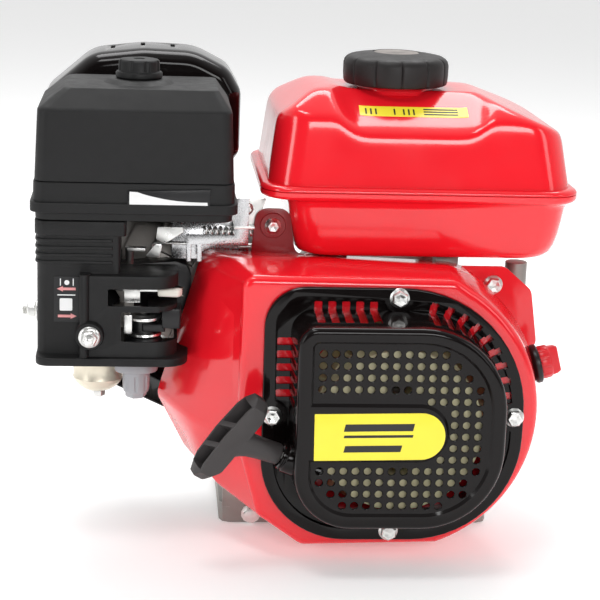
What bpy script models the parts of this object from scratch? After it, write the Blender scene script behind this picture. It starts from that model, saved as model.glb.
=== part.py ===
"""Small horizontal-shaft gasoline engine, as an assembly of separate parts.

Frame: +Z up, origin on the base plane straight under the crankshaft and in the plane of the
cylinder axis. The crankshaft lies along Y, with the recoil starter at -Y and the output at +Y.
The cylinder leans up towards -X. Lengths below are in millimetres; objects are made in metres.
"""
import math

import bmesh
import bpy
from mathutils import Matrix, Vector

MM = 0.001
GAP = 0.3  # clearance kept between neighbouring solids
FOUR_CORNERS = ((-1, -1), (1, -1), (1, 1), (-1, 1))
EIGHT_SIDES = ((-1, -0.7), (-0.7, -1), (0.7, -1), (1, -0.7), (1, 0.7), (0.7, 1), (-0.7, 1), (-1, 0.7))

# Driving dimensions
CRANK_HEIGHT = 106.0
TANK_BOTTOM = 204.0
CYLINDER_TILT = math.radians(25.0)  # above the horizontal, towards -X
BORE = 68.0
STROKE = 54.0
ROD_LENGTH = 84.0
DECK = 134.0  # crank axis to head joint, along the cylinder axis
CASE_FRONT = -50.0
CASE_BACK = 50.0
COVER_BACK = 78.0  # output face of the side cover
SHAFT_END = 136.0
SHAFT_RADIUS = 9.525
BASE_LEFT = -114.0
BASE_RIGHT = 84.0
BASE_THICK = 14.0
HOLE_LINES_X = (-96.0, 66.0)
HOLE_LINES_Y = (-40.0, 40.0)
SHROUD_BACK = -54.0  # rear rim of the fan cover
SHROUD_FRONT = -118.0
RECOIL_FACE = -160.0
RECOIL_BOLT_RADIUS = 83.2
FLYWHEEL_RADIUS = 80.0
SHEET = 2.0
ARC_STEP = math.radians(15.0)

STEEL = ((0.55, 0.55, 0.56), 0.35, 1.0)
ZINC = ((0.72, 0.72, 0.70), 0.3, 1.0)
ALUMINIUM = ((0.60, 0.60, 0.60), 0.5, 1.0)
CAST_IRON = ((0.28, 0.28, 0.29), 0.6, 1.0)
RED_PAINT = ((0.76, 0.02, 0.03), 0.2, 0.0)
RED_PLASTIC = ((0.70, 0.02, 0.03), 0.35, 0.0)
BLACK_PAINT = ((0.012, 0.012, 0.012), 0.2, 0.0)
BLACK_PLASTIC = ((0.03, 0.03, 0.03), 0.55, 0.0)
GREY_PLASTIC = ((0.25, 0.25, 0.24), 0.5, 0.0)
CREAM_PLASTIC = ((0.62, 0.58, 0.42), 0.5, 0.0)
WHITE_PLASTIC = ((0.85, 0.84, 0.80), 0.4, 0.0)
BOWL_METAL = ((0.75, 0.70, 0.58), 0.35, 0.9)
FOAM = ((0.20, 0.20, 0.20), 0.9, 0.0)

CRANK = Vector((0.0, 0.0, CRANK_HEIGHT))
ALONG = Vector((-math.cos(CYLINDER_TILT), 0.0, math.sin(CYLINDER_TILT)))
ACROSS = Vector((math.sin(CYLINDER_TILT), 0.0, math.cos(CYLINDER_TILT)))
AXIS_Y = Vector((0.0, 1.0, 0.0))
UP = Vector((0.0, 0.0, 1.0))


# ---------------------------------------------------------------- shape tools
def clear_scene():
    for obj in list(bpy.data.objects):
        bpy.data.objects.remove(obj, do_unlink=True)


def mesh_object(bm):
    """A linked object from a bmesh in millimetres, closed and facing out."""
    bmesh.ops.recalc_face_normals(bm, faces=bm.faces)
    if bm.calc_volume(signed=True) < 0:
        bmesh.ops.reverse_faces(bm, faces=bm.faces)
    bmesh.ops.scale(bm, vec=(MM, MM, MM), verts=bm.verts)
    mesh = bpy.data.meshes.new("shape")
    bm.to_mesh(mesh)
    bm.free()
    obj = bpy.data.objects.new("shape", mesh)
    bpy.context.scene.collection.objects.link(obj)
    return obj


def loft(rings):
    """A closed solid through rings of equally many points, with flat ends."""
    bm = bmesh.new()
    loops = [[bm.verts.new(point) for point in ring] for ring in rings]
    count = len(loops[0])
    for low, high in zip(loops, loops[1:]):
        for i in range(count):
            j = (i + 1) % count
            bm.faces.new((low[i], low[j], high[j], high[i]))
    bm.faces.new(loops[0])
    bm.faces.new(loops[-1])
    return mesh_object(bm)


def rounded(corners, steps=2):
    """Points of a polygon whose corners (u, v, radius) are rounded with arcs."""
    points = []
    count = len(corners)
    for i, (u, v, radius) in enumerate(corners):
        here = Vector((u, v))
        if radius == 0:
            points.append((u, v))
            continue
        before = (Vector(corners[i - 1][:2]) - here).normalized()
        after = (Vector(corners[(i + 1) % count][:2]) - here).normalized()
        half = before.angle(after) / 2
        centre = here + (before + after).normalized() * radius / math.sin(half)
        start = here + before * radius / math.tan(half) - centre
        end = here + after * radius / math.tan(half) - centre
        turn = start.angle_signed(end)
        for k in range(steps + 1):
            spoke = start.copy()
            spoke.rotate(Matrix.Rotation(-turn * k / steps, 2))
            points.append(tuple(centre + spoke))
    return points


def inset(points, depth):
    """The polygon moved inwards by depth; the points run one way round."""
    area = sum(
        points[i - 1][0] * p[1] - p[0] * points[i - 1][1] for i, p in enumerate(points)
    )
    side = 1.0 if area > 0 else -1.0
    moved = []
    for i, p in enumerate(points):
        here = Vector(p)
        one = (here - Vector(points[i - 1])).normalized()
        two = (Vector(points[(i + 1) % len(points)]) - here).normalized()
        normal = Vector((-one.y - two.y, one.x + two.x))
        normal.normalize()
        stretch = max(0.5, normal.dot(Vector((-one.y, one.x))))
        moved.append(tuple(here + normal * side * depth / stretch))
    return moved


def placed(points, axis, at):
    """Outline points (u, v) set into space at one height along an axis."""
    if axis == "Y":
        return [(u, at, v) for u, v in points]
    if axis == "Z":
        return [(u, v, at) for u, v in points]
    return [(at, u, v) for u, v in points]


def prism(points, axis, low, high):
    return loft([placed(points, axis, low), placed(points, axis, high)])


def box(x0, x1, y0, y1, z0, z1):
    return prism([(x0, z0), (x1, z0), (x1, z1), (x0, z1)], "Y", y0, y1)


def arc(centre, radius, start, end, step=ARC_STEP):
    count = max(2, math.ceil(abs(end - start) / step))
    return [
        (
            centre[0] + radius * math.cos(start + (end - start) * k / count),
            centre[1] + radius * math.sin(start + (end - start) * k / count),
        )
        for k in range(count + 1)
    ]


def circle(centre, radius, steps=24):
    return [
        (
            centre[0] + radius * math.cos(math.tau * k / steps),
            centre[1] + radius * math.sin(math.tau * k / steps),
        )
        for k in range(steps)
    ]


def turned(profile, base, axis, steps=20, turn=0.0):
    """A solid of revolution. The profile (radius, height) runs from axis to axis, or closes."""
    axis = Vector(axis).normalized()
    side = axis.orthogonal().normalized()
    other = axis.cross(side)
    base = Vector(base)
    bm = bmesh.new()
    rings = []
    for radius, height in profile:
        centre = base + axis * height
        if radius == 0:
            rings.append([bm.verts.new(centre)])
            continue
        ring = []
        for k in range(steps):
            angle = turn + math.tau * k / steps
            spoke = side * math.cos(angle) + other * math.sin(angle)
            ring.append(bm.verts.new(centre + spoke * radius))
        rings.append(ring)
    pairs = list(zip(rings, rings[1:]))
    if len(rings[0]) > 1 and len(rings[-1]) > 1:
        pairs.append((rings[-1], rings[0]))
    for low, high in pairs:
        for k in range(steps):
            n = (k + 1) % steps
            corners = [low[k % len(low)], low[n % len(low)], high[n % len(high)], high[k % len(high)]]
            unique = list(dict.fromkeys(corners))
            bm.faces.new(unique)
    return mesh_object(bm)


def rod(start, end, radius, steps=12, turn=0.0):
    start = Vector(start)
    end = Vector(end)
    length = (end - start).length
    profile = [(0, 0), (radius, 0), (radius, length), (0, length)]
    return turned(profile, start, end - start, steps, turn)


def combine(target, tools, operation):
    """Applies one Boolean for each tool to the target, and removes the tools."""
    for tool in tools:
        modifier = target.modifiers.new("shape", "BOOLEAN")
        modifier.operation = operation
        modifier.object = tool
    bpy.context.view_layer.update()
    graph = bpy.context.evaluated_depsgraph_get()
    mesh = bpy.data.meshes.new_from_object(target.evaluated_get(graph))
    target.modifiers.clear()
    target.data = mesh
    for tool in tools:
        bpy.data.objects.remove(tool, do_unlink=True)
    return target


def join(target, *tools):
    return combine(target, tools, "UNION")


def cut(target, *tools):
    return combine(target, tools, "DIFFERENCE")


def material_of(look):
    colour, roughness, metallic = look
    name = f"look_{colour[0]:.2f}_{colour[1]:.2f}_{colour[2]:.2f}_{roughness:.2f}"
    found = bpy.data.materials.get(name)
    if found:
        return found
    material = bpy.data.materials.new(name)
    material.use_nodes = True
    shader = material.node_tree.nodes["Principled BSDF"]
    shader.inputs["Base Color"].default_value = (*colour, 1.0)
    shader.inputs["Roughness"].default_value = roughness
    shader.inputs["Metallic"].default_value = metallic
    return material


def part(name, obj, look, pivot=(0.0, 0.0, 0.0)):
    """Names a finished solid, gives it its material and puts its origin on the pivot."""
    centre = Vector(pivot) * MM
    obj.name = name
    obj.data.name = name
    obj.data.transform(Matrix.Translation(-centre))
    obj.location = centre
    obj.data.materials.clear()
    obj.data.materials.append(material_of(look))
    obj.data.shade_smooth()
    obj.data.set_sharp_from_angle(angle=math.radians(30))
    return obj


def on_cylinder(along, across=0.0, y=0.0):
    """A point given by its distances along and across the cylinder axis."""
    return CRANK + ALONG * along + ACROSS * across + AXIS_Y * y


def block(s0, s1, t0, t1, y0, y1):
    """A box along the cylinder axis: s along it, t across it, y across the engine."""
    corners = ((s0, t0), (s1, t0), (s1, t1), (s0, t1))
    return loft([[on_cylinder(s, t, y) for s, t in corners] for y in (y0, y1)])


def hexagon_bolt(head, axis, across=10.0, height=6.0, flange=7.2, shank=3.0, length=6.0):
    """A flanged hexagon head standing on head, with its shank behind it."""
    body = turned([(0, 0), (flange, 0), (flange, 1.4), (0, 1.4)], head, axis, 12)
    corner = across / math.sqrt(3)
    hexagon = turned([(0, 0.7), (corner, 0.7), (corner, height), (0, height)], head, axis, 6)
    tail = turned([(0, -length), (shank, -length), (shank, 0.6), (0, 0.6)], head, axis, 8)
    return join(body, hexagon, tail)


# ---------------------------------------------------------------- block and covers
GOVERNOR_PIVOT = Vector((-72.0, -51.5, 146.0))
GOVERNOR_ROD_Z = 209.5
THROTTLE_PIVOT = Vector((-181.0, -55.0, 194.3))
LEVER_PIVOT = Vector((-104.0, -61.0, 222.0))
CASE_OUTLINE = [
    (BASE_LEFT + 34, 4, 6), (BASE_RIGHT - 12, 4, 6), (86, 60, 20), (84, 132, 26),
    (48, 186, 22), (-44, 186, 22), (-82, 150, 20),
]
CAVITY_OUTLINE = [(-64, 14, 6), (66, 14, 6), (70, 60, 14), (70, 128, 14), (40, 172, 14), (-62, 172, 6)]
CAM_CENTRE = (22.8, CRANK_HEIGHT - 49.0)
FILLER_BASE = Vector((51.0, 61.0, 29.0))
FILLER_AXIS = Vector((0.55, 0.25, 0.35)).normalized()


def make_cylinder_block():
    case = prism(rounded(CASE_OUTLINE), "Y", CASE_FRONT, CASE_BACK)
    foot = prism(
        rounded([(BASE_LEFT, -CASE_BACK, 8), (BASE_RIGHT, -CASE_BACK, 8),
                 (BASE_RIGHT, CASE_BACK, 8), (BASE_LEFT, CASE_BACK, 8)]),
        "Z", 0, BASE_THICK,
    )
    foot_rib = loft([
        [(BASE_LEFT + 2, y, BASE_THICK - 2), (-76, y, BASE_THICK - 2), (-76, y, 60), (BASE_LEFT + 2, y, 31)]
        for y in (-50, -46)
    ])
    barrel = rod(on_cylinder(50), on_cylinder(DECK - 1), BORE / 2 + 7, 20)
    fins = [block(s, s + 2.6, -54, 52, -46, 44) for s in range(90, 130, 9)]
    deck = block(DECK - 8, DECK, -48, 46, -44, 44)
    post = rod((100, -20, 150), (100, -20, 192), 8.0)
    post_arm = box(70, 104, -27, -13, 140, 160)
    leg_places = ((-36, 36), (44, 36), (44, -40), (-36, -40))
    legs = [box(x - 8, x + 8, y - 7, y + 7, 180, TANK_BOTTOM - GAP) for x, y in leg_places]
    block_body = join(case, foot, foot_rib, barrel, *fins, deck, post, post_arm, *legs)
    cavity = prism(rounded(CAVITY_OUTLINE), "Y", -40, CASE_BACK + 1)
    bore = rod(on_cylinder(20), on_cylinder(DECK + 4), BORE / 2 + GAP, 24)
    bearing = rod((0, -60, CRANK_HEIGHT), (0, -30, CRANK_HEIGHT), 16.0, 16)
    slots = [
        prism(rounded([(x + 8 * u, y + 4.5 * v, 4.4) for u, v in FOUR_CORNERS]),
              "Z", -2, BASE_THICK + 12)
        for x in (HOLE_LINES_X[0],) for y in HOLE_LINES_Y
    ]
    slots += [rod((HOLE_LINES_X[1], y, -2), (HOLE_LINES_X[1], y, 9), 4.5, 8) for y in HOLE_LINES_Y]
    shaft_way = rod(GOVERNOR_PIVOT + AXIS_Y * 30, GOVERNOR_PIVOT - AXIS_Y * 10, 4 + GAP, 10)
    part("cylinder_block", cut(block_body, cavity, bore, bearing, *slots, shaft_way), ALUMINIUM)


def make_crankcase_cover():
    plate = prism(rounded(CASE_OUTLINE), "Y", CASE_BACK + GAP, CASE_BACK + 8)
    bulge = loft([
        placed(rounded([(-66, 18, 18), (66, 18, 18), (70, 120, 24), (36, 166, 24), (-40, 166, 24)]), "Y", y)
        for y in (CASE_BACK + 7, CASE_BACK + 16)
    ])
    boss = rod((0, CASE_BACK + 10, CRANK_HEIGHT), (0, COVER_BACK, CRANK_HEIGHT), 57, 24)
    cover = join(plate, bulge, boss)
    way = rod((0, CASE_BACK - 4, CRANK_HEIGHT), (0, COVER_BACK + 4, CRANK_HEIGHT), SHAFT_RADIUS + 5, 20)
    recess = rod((0, COVER_BACK - 4, CRANK_HEIGHT), (0, COVER_BACK + 4, CRANK_HEIGHT), 27, 20)
    bolt_ways = [
        rod((46.05 * math.cos(a), COVER_BACK - 16, CRANK_HEIGHT + 46.05 * math.sin(a)),
            (46.05 * math.cos(a), COVER_BACK + 4, CRANK_HEIGHT + 46.05 * math.sin(a)), 4.0, 8)
        for a in (math.radians(45 + 90 * k) for k in range(4))
    ]
    filler = turned([(0, 0), (13, 0), (13, 31), (0, 31)], FILLER_BASE, FILLER_AXIS, 14)
    filler_way = turned([(0, 6), (9.6, 6), (9.6, 45), (0, 45)], FILLER_BASE, FILLER_AXIS, 14)
    part("crankcase_cover", cut(join(cover, filler), way, recess, *bolt_ways, filler_way), ALUMINIUM)


def make_oil_dipstick():
    base = FILLER_BASE
    axis = FILLER_AXIS
    seat = 31 + GAP
    stick = turned(
        [(0, 8), (2.2, 8), (2.2, 14), (8.8, 14), (8.8, seat), (14, seat), (14, seat + 4), (9, seat + 7),
         (9, seat + 16), (0, seat + 16)],
        base, axis, 14,
    )
    wing = turned([(0, seat + 6), (13, seat + 6), (13, seat + 13), (0, seat + 13)], base, axis, 6)
    part("oil_dipstick", join(stick, wing), BLACK_PLASTIC, base)


PLUG_BASE = on_cylinder(DECK + 8, 22)
PLUG_AXIS = (ACROSS * 0.6 + ALONG * 0.5 + AXIS_Y * 0.62).normalized()


def make_head():
    core = block(DECK + GAP, DECK + 52, -40, 38, -28, 28)
    flange = block(DECK + GAP, DECK + 12, -46, 44, -40, 40)
    fins = [block(DECK + s, DECK + s + 2.4, -50, 50, -32, 36) for s in (14, 22, 30, 38)]
    port = block(DECK + 24, DECK + 50, -16, 16, -34, 46)
    head = join(core, flange, *fins, port)
    chamber = rod(on_cylinder(DECK - 1), on_cylinder(DECK + 9), 30, 20)
    plug_way = rod(PLUG_BASE, PLUG_BASE + PLUG_AXIS * 70, 13, 12)
    intake = rod(on_cylinder(DECK + 37, 0, -20), on_cylinder(DECK + 37, 0, -60), 11)
    exhaust = rod(on_cylinder(DECK + 37, 0, 20), on_cylinder(DECK + 37, 0, 60), 11)
    part("cylinder_head", cut(head, chamber, plug_way, intake, exhaust), ALUMINIUM)

    rim = block(DECK + 52 + GAP, DECK + 56, -42, 40, -34, 34)
    dome = loft([
        [on_cylinder(s, t, y) for t, y in rounded([(-w, -d, 8), (w, -d, 8), (w, d, 8), (-w, d, 8)])]
        for s, w, d in ((DECK + 54, 36, 29), (DECK + 74, 34, 27), (DECK + 80, 28, 21))
    ])
    hollow = block(DECK + 50, DECK + 74, -31, 31, -24, 24)
    part("rocker_cover", cut(join(rim, dome), hollow), BLACK_PAINT)


def make_spark_plug():
    thread_and_hexagon = [(0, 4), (7, 4), (7, 26), (11.5, 27), (11.5, 36), (7, 38)]
    profile = thread_and_hexagon + [(5, 52), (2.5, 53), (2.5, 58), (0, 58)]
    part("spark_plug", turned(profile, PLUG_BASE, PLUG_AXIS, 12), WHITE_PLASTIC)


def make_lower_shroud():
    sheet = block(112, 170, -86, -84, -36, 40)
    lip = block(168, 170, -86, -80, -36, 40)
    wall = block(112, 170, -86, -70, 38, 40)
    part("lower_shroud", join(sheet, lip, wall), BLACK_PAINT)


# ---------------------------------------------------------------- crank train
def web(y0, y1):
    """A crank web: a disc with its sides cut away towards the pin."""
    disc = rod((0, y0, CRANK_HEIGHT), (0, y1, CRANK_HEIGHT), 39.5, 20)
    side = [block(6, 44, t0, t1, y0 - 1, y1 + 1) for t0, t1 in ((20, 44), (-44, -20))]
    return cut(disc, *side)


def make_crankshaft():
    front = join(
        web(-22, -10),
        rod((0, -60, CRANK_HEIGHT), (0, -20, CRANK_HEIGHT), 15, 16),
        rod((0, -114, CRANK_HEIGHT), (0, -59, CRANK_HEIGHT), 9.5, 12),
    )
    part("crankshaft_flywheel_half", front, STEEL, CRANK)
    key = box(-2.4, 2.4, 88, SHAFT_END + 6, CRANK_HEIGHT + 6, CRANK_HEIGHT + 12)
    back = join(
        web(10, 22),
        rod((0, 20, CRANK_HEIGHT), (0, 60, CRANK_HEIGHT), 12.5, 16),
        turned([(0, 59), (SHAFT_RADIUS, 59), (SHAFT_RADIUS, SHAFT_END - 1), (SHAFT_RADIUS - 1, SHAFT_END),
                (0, SHAFT_END)], (0, 0, CRANK_HEIGHT), AXIS_Y, 20),
    )
    part("crankshaft_output_half", cut(back, key), STEEL, CRANK)


def gear(centre, teeth, module, y0, y1, turn):
    """Outline of a spur gear with straight-flanked teeth and a little backlash."""
    pitch = module * teeth / 2
    points = []
    for k in range(teeth):
        middle = turn + math.tau * k / teeth
        for radius, share in ((-1.25, -0.32), (0.85, -0.11), (0.85, 0.11), (-1.25, 0.32)):
            angle = middle + share * math.tau / teeth
            reach = pitch + radius * module
            points.append((centre[0] + reach * math.cos(angle), centre[1] + reach * math.sin(angle)))
    return prism(points, "Y", y0, y1)


MODULE = 3.0
CRANK_TEETH = 12
CAM_TEETH = 24
GEAR_LINE = math.atan2(CAM_CENTRE[1] - CRANK_HEIGHT, CAM_CENTRE[0])


def make_timing():
    small = gear((0, CRANK_HEIGHT), CRANK_TEETH, MODULE, 31, 43, GEAR_LINE)
    bore = rod((0, 25, CRANK_HEIGHT), (0, 48, CRANK_HEIGHT), 12.5 + GAP, 16)
    part("timing_gear", cut(small, bore), STEEL, CRANK)
    half_tooth = math.pi / CAM_TEETH
    large = gear(CAM_CENTRE, CAM_TEETH, MODULE, 31, 43, GEAR_LINE + math.pi + half_tooth)
    shaft = rod((CAM_CENTRE[0], -36, CAM_CENTRE[1]), (CAM_CENTRE[0], 48, CAM_CENTRE[1]), 6.5, 12)
    lobes = []
    for y0, bend in ((-30, 0.6), (8, 2.4)):
        round_part = circle(CAM_CENTRE, 9.5, 12)
        tip = (CAM_CENTRE[0] + 5 * math.cos(bend), CAM_CENTRE[1] + 5 * math.sin(bend))
        lobes += [prism(round_part, "Y", y0, y0 + 9), prism(circle(tip, 7.5, 10), "Y", y0 + 0.5, y0 + 8.5)]
    part("camshaft", join(large, shaft, *lobes), STEEL, (CAM_CENTRE[0], 0, CAM_CENTRE[1]))


def make_piston_and_rod():
    throw = STROKE / 2
    small_end = throw + ROD_LENGTH
    crown = small_end + 22
    piston = rod(on_cylinder(crown - 38), on_cylinder(crown), BORE / 2 - 0.2, 24)
    hollow = rod(on_cylinder(crown - 44), on_cylinder(crown - 7), BORE / 2 - 6, 20)
    pin_way = rod(on_cylinder(small_end, 0, -40), on_cylinder(small_end, 0, 40), 8 + GAP)
    grooves = [
        turned([(BORE / 2 - 3, s), (BORE / 2 + 2, s), (BORE / 2 + 2, s + 1.6), (BORE / 2 - 3, s + 1.6)],
               on_cylinder(0), ALONG, 24)
        for s in (crown - 5,)
    ]
    part("piston", cut(piston, hollow, pin_way, *grooves), ALUMINIUM, CRANK)
    pin = rod(on_cylinder(small_end, 0, -32), on_cylinder(small_end, 0, 32), 8)
    part("piston_pin", pin, STEEL, CRANK)
    shank = block(throw + 10, small_end - 6, -6.5, 6.5, -5, 5)
    big = rod(on_cylinder(throw, 0, -9), on_cylinder(throw, 0, 9), 21, 16)
    small = rod(on_cylinder(small_end, 0, -8.6), on_cylinder(small_end, 0, 8.6), 13)
    body = join(shank, big, small)
    big_way = rod(on_cylinder(throw, 0, -20), on_cylinder(throw, 0, 20), 15 + GAP, 16)
    small_way = rod(on_cylinder(small_end, 0, -20), on_cylinder(small_end, 0, 20), 8 + GAP)
    part("connecting_rod", cut(body, big_way, small_way), ALUMINIUM, CRANK)
    crank_pin = rod(on_cylinder(throw, 0, -9.6), on_cylinder(throw, 0, 9.6), 15, 16)
    part("crank_pin", crank_pin, STEEL, CRANK)


def ring_with_hub(outer, y0, y1, hub, hub_y0, hub_y1, web_y0, web_y1, rim):
    """A wheel about the crank axis: a rim, a thinner web and a hub bored for the shaft."""
    bore = 9.5 + GAP
    profile = [
        (bore, hub_y0), (hub, hub_y0), (hub, web_y0), (outer - rim, web_y0), (outer - rim, y0), (outer, y0),
        (outer, y1), (outer - rim, y1), (outer - rim, web_y1), (hub, web_y1), (hub, hub_y1), (bore, hub_y1),
    ]
    return turned(profile, (0, 0, CRANK_HEIGHT), AXIS_Y, 24)


def make_flywheel():
    wheel = ring_with_hub(FLYWHEEL_RADIUS, -84, -62, 20, -84, -62, -82, -76, 12)
    part("flywheel", wheel, CAST_IRON, CRANK)

    bore = 9.5 + GAP
    fan = turned([(bore, -88), (82, -88), (82, -84.4), (bore, -84.4)], (0, 0, CRANK_HEIGHT), AXIS_Y, 24)
    blades = []
    for k in range(14):
        spin = Matrix.Rotation(math.tau * k / 14, 3, "Y")
        outline = ((46, -2), (80, 8), (80, 10.5), (46, 0.5))
        blades.append(loft([
            [spin @ Vector((u, y, v)) + CRANK for u, v in outline] for y in (-108, -87)
        ]))
    part("cooling_fan", join(fan, *blades), CREAM_PLASTIC, CRANK)

    cup = turned(
        [(9.5 + GAP, -91), (31, -91), (33, -93), (33, -116), (31, -116), (31, -94), (9.5 + GAP, -94)],
        (0, 0, CRANK_HEIGHT), AXIS_Y, 16,
    )
    part("starter_cup", cup, STEEL, CRANK)
    nut_ring = [(11.6, -106), (14.5, -106), (14.5, -94.4), (11.6, -94.4)]
    nut = turned(nut_ring, (0, 0, CRANK_HEIGHT), AXIS_Y, 6)
    part("flywheel_nut", nut, ZINC, CRANK)


# ---------------------------------------------------------------- fan cover and recoil starter
def shroud_outline(front, depth):
    """The fan cover's outline: round about the crank, drawn out to the left over the cylinder."""
    left = -104 if front else -130
    low_left = (-89, 30) if front else (-140, 60)
    mid_left = (-103, 84) if front else (-161, 100)
    top_left = 199 if front else 206
    top_right = 199 if front else 199.5
    left_side = [(-60, 9, 10), (*low_left, 8), (*mid_left, 12), (left, top_left, 8)]
    corners = left_side + [(42, top_right, 20), (66, 187, 6)]
    radius = 101 if front else 105
    round_side = arc((0, CRANK_HEIGHT), radius, math.radians(48), math.radians(-70), math.radians(12))
    return inset(rounded(corners) + round_side[1:], depth)


def shroud_solid(y_front, y_back, depth):
    return loft([
        placed(shroud_outline(True, depth), "Y", y_front),
        placed(shroud_outline(False, depth), "Y", y_back),
    ])


def make_fan_cover():
    shell = shroud_solid(SHROUD_FRONT, SHROUD_BACK, 0)
    left_ear = prism(
        rounded([(-97, 196, 3), (-66, 196, 3), (-72, 236, 9), (-92, 236, 9)]), "Y", -58, EAR_BACK
    )
    right_ear = prism(
        rounded([(56, 150, 3), (104, 136, 3), (90, 180, 9), (74, 196, 9), (56, 196, 4)]), "Y", -58, EAR_BACK
    )
    hollow = shroud_solid(SHROUD_FRONT + SHEET, SHROUD_BACK + 2, SHEET)
    cover = cut(join(shell, left_ear, right_ear), hollow)
    inlet = rod((0, SHROUD_FRONT - 5, CRANK_HEIGHT), (0, SHROUD_FRONT + 6, CRANK_HEIGHT), 76, 28)
    ways = [rod((x, -70, z), (x, -50, z), 3 + GAP, 8) for x, z in EARS]
    ways += [rod((x, -125, z), (x, -110, z), 3 + GAP, 8) for x, z in recoil_bolt_places()]
    switch_way = rod(switch_point(96), switch_point(112), 9)
    part("fan_cover", cut(cover, inlet, switch_way, *ways), RED_PAINT)


EARS = ((-82.0, 224.0), (76.0, 184.0))
EAR_BACK = -56.2


def recoil_bolt_places():
    return [
        (RECOIL_BOLT_RADIUS * math.cos(a), CRANK_HEIGHT + RECOIL_BOLT_RADIUS * math.sin(a))
        for a in (0, math.pi / 2, math.pi, 3 * math.pi / 2)
    ]


PULL = Vector((-0.916, 0.0, 0.401)).normalized()
GUIDE_END = Vector((-78.0, -139.0, 83.9))
RECOIL_BACK = SHROUD_FRONT - GAP
RECOIL_FLANGE = -121.5


def recoil_outline(depth):
    """The recoil cover's flange, depth inwards: a square with four different corner radii."""
    corners = [(-90, 196, 28), (90, 196, 88), (90, 16, 75), (-90, 16, 60)]
    return inset(rounded(corners, 4), depth)


def face_outline(depth):
    corners = [(-69, 177, 12), (70, 177, 58), (70, 39, 54), (-69, 39, 38)]
    return inset(rounded(corners, 4), depth)


def make_recoil_cover():
    flange = prism(recoil_outline(0), "Y", RECOIL_FLANGE, RECOIL_BACK)
    wall = loft([placed(face_outline(-5), "Y", RECOIL_FLANGE + 1), placed(face_outline(-3), "Y", -146),
                 placed(face_outline(0), "Y", -157), placed(face_outline(4), "Y", RECOIL_FACE)])
    guide = rod(GUIDE_END - PULL * 22, GUIDE_END, 11)
    shell = join(flange, wall, guide)
    hollow = loft([placed(face_outline(-3), "Y", RECOIL_BACK + 2), placed(face_outline(-1), "Y", -146),
                   placed(face_outline(2), "Y", -156), placed(face_outline(6), "Y", RECOIL_FACE + SHEET)])
    shell = cut(shell, hollow)
    post = rod((0, RECOIL_FACE + 1, CRANK_HEIGHT), (0, -128, CRANK_HEIGHT), 7)
    bolts = [rod((x, -125, z), (x, -110, z), 3 + GAP, 8) for x, z in recoil_bolt_places()]
    rope_way = rod(GUIDE_END - PULL * 50, GUIDE_END + PULL * 10, 4.5, 8)
    slots = [box(x - 2, x + 2, -150, -126, 160, 210) for x in range(-44, 37, 10)]
    slots += [box(-100, -62, -150, -126, z - 2, z + 2) for z in range(112, 163, 10)]
    part("recoil_cover", cut(join(shell, post), *bolts, rope_way, *slots), BLACK_PAINT)
    for i, (x, z) in enumerate(recoil_bolt_places()):
        bolt = hexagon_bolt((x, RECOIL_FLANGE - GAP, z), -AXIS_Y, flange=6.2)
        part(f"recoil_bolt_{i + 1}", bolt, ZINC)
    for name, (x, z) in zip(("left", "right"), EARS):
        bolt = hexagon_bolt((x, -58 - GAP, z), -AXIS_Y)
        part(f"fan_cover_bolt_{name}", bolt, ZINC)


def make_starter_reel():
    profile = [
        (7 + GAP, -153), (56, -153), (56, -150), (46, -149),
        (46, -134), (56, -133), (56, -130), (7 + GAP, -130),
    ]
    reel = turned(profile, (0, 0, CRANK_HEIGHT), AXIS_Y, 24)
    windows = []
    for k in range(4):
        centre = Matrix.Rotation(math.tau * k / 4, 3, "Y") @ Vector((27, 0, 0)) + CRANK
        windows.append(rod(centre - AXIS_Y * 160, centre - AXIS_Y * 120, 8, 8))
    part("starter_reel", cut(reel, *windows), GREY_PLASTIC, CRANK)


def make_starter_grip():
    along = PULL
    bar = Vector((0.565, 0.0, 0.825)).normalized()
    centre = GUIDE_END + PULL * 44
    rings = []
    for reach, thick, depth, bend in (
        (-34, 6, 8, 2), (-32, 9, 10, 1.5), (-18, 10, 11, 0.5), (0, 11, 12, 0),
        (18, 10, 11, 0.5), (32, 9, 10, 1.5), (34, 6, 8, 2),
    ):
        middle = centre + bar * reach - along * bend
        rings.append([
            middle + along * a * thick + AXIS_Y * b * depth
            for a, b in EIGHT_SIDES
        ])
    body = loft(rings)
    root = GUIDE_END + PULL * 0.5
    stem = rod(centre, root, 8.5, 14)
    rope = rod(root + PULL * 3, GUIDE_END - PULL * 52, 2.5, 8)
    hollow = [
        loft([
            [centre + bar * (reach + 6 * u) + along * s + AXIS_Y * 7 * v for u, v in FOUR_CORNERS]
            for s in (4, 20)
        ])
        for reach in (-20, 0, 20)
    ]
    part("starter_grip", cut(join(body, stem, rope), *hollow), BLACK_PLASTIC, centre)


def make_ignition_coil():
    legs = [box(-101, -FLYWHEEL_RADIUS - 1.5, -80, -68, z, z + 9) for z in (84, 119)]
    core = box(-101, -91, -80, -68, 84, 128)
    winding = box(-102, -88, -86, -62, 96, 116)
    part("ignition_coil", join(*legs, core, winding), CAST_IRON)


# ---------------------------------------------------------------- switch
SWITCH_ANGLE = math.radians(15.0)
SWITCH_Y = -86.0


def switch_point(radius):
    return CRANK + Vector((radius * math.cos(SWITCH_ANGLE), SWITCH_Y, radius * math.sin(SWITCH_ANGLE)))


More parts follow.
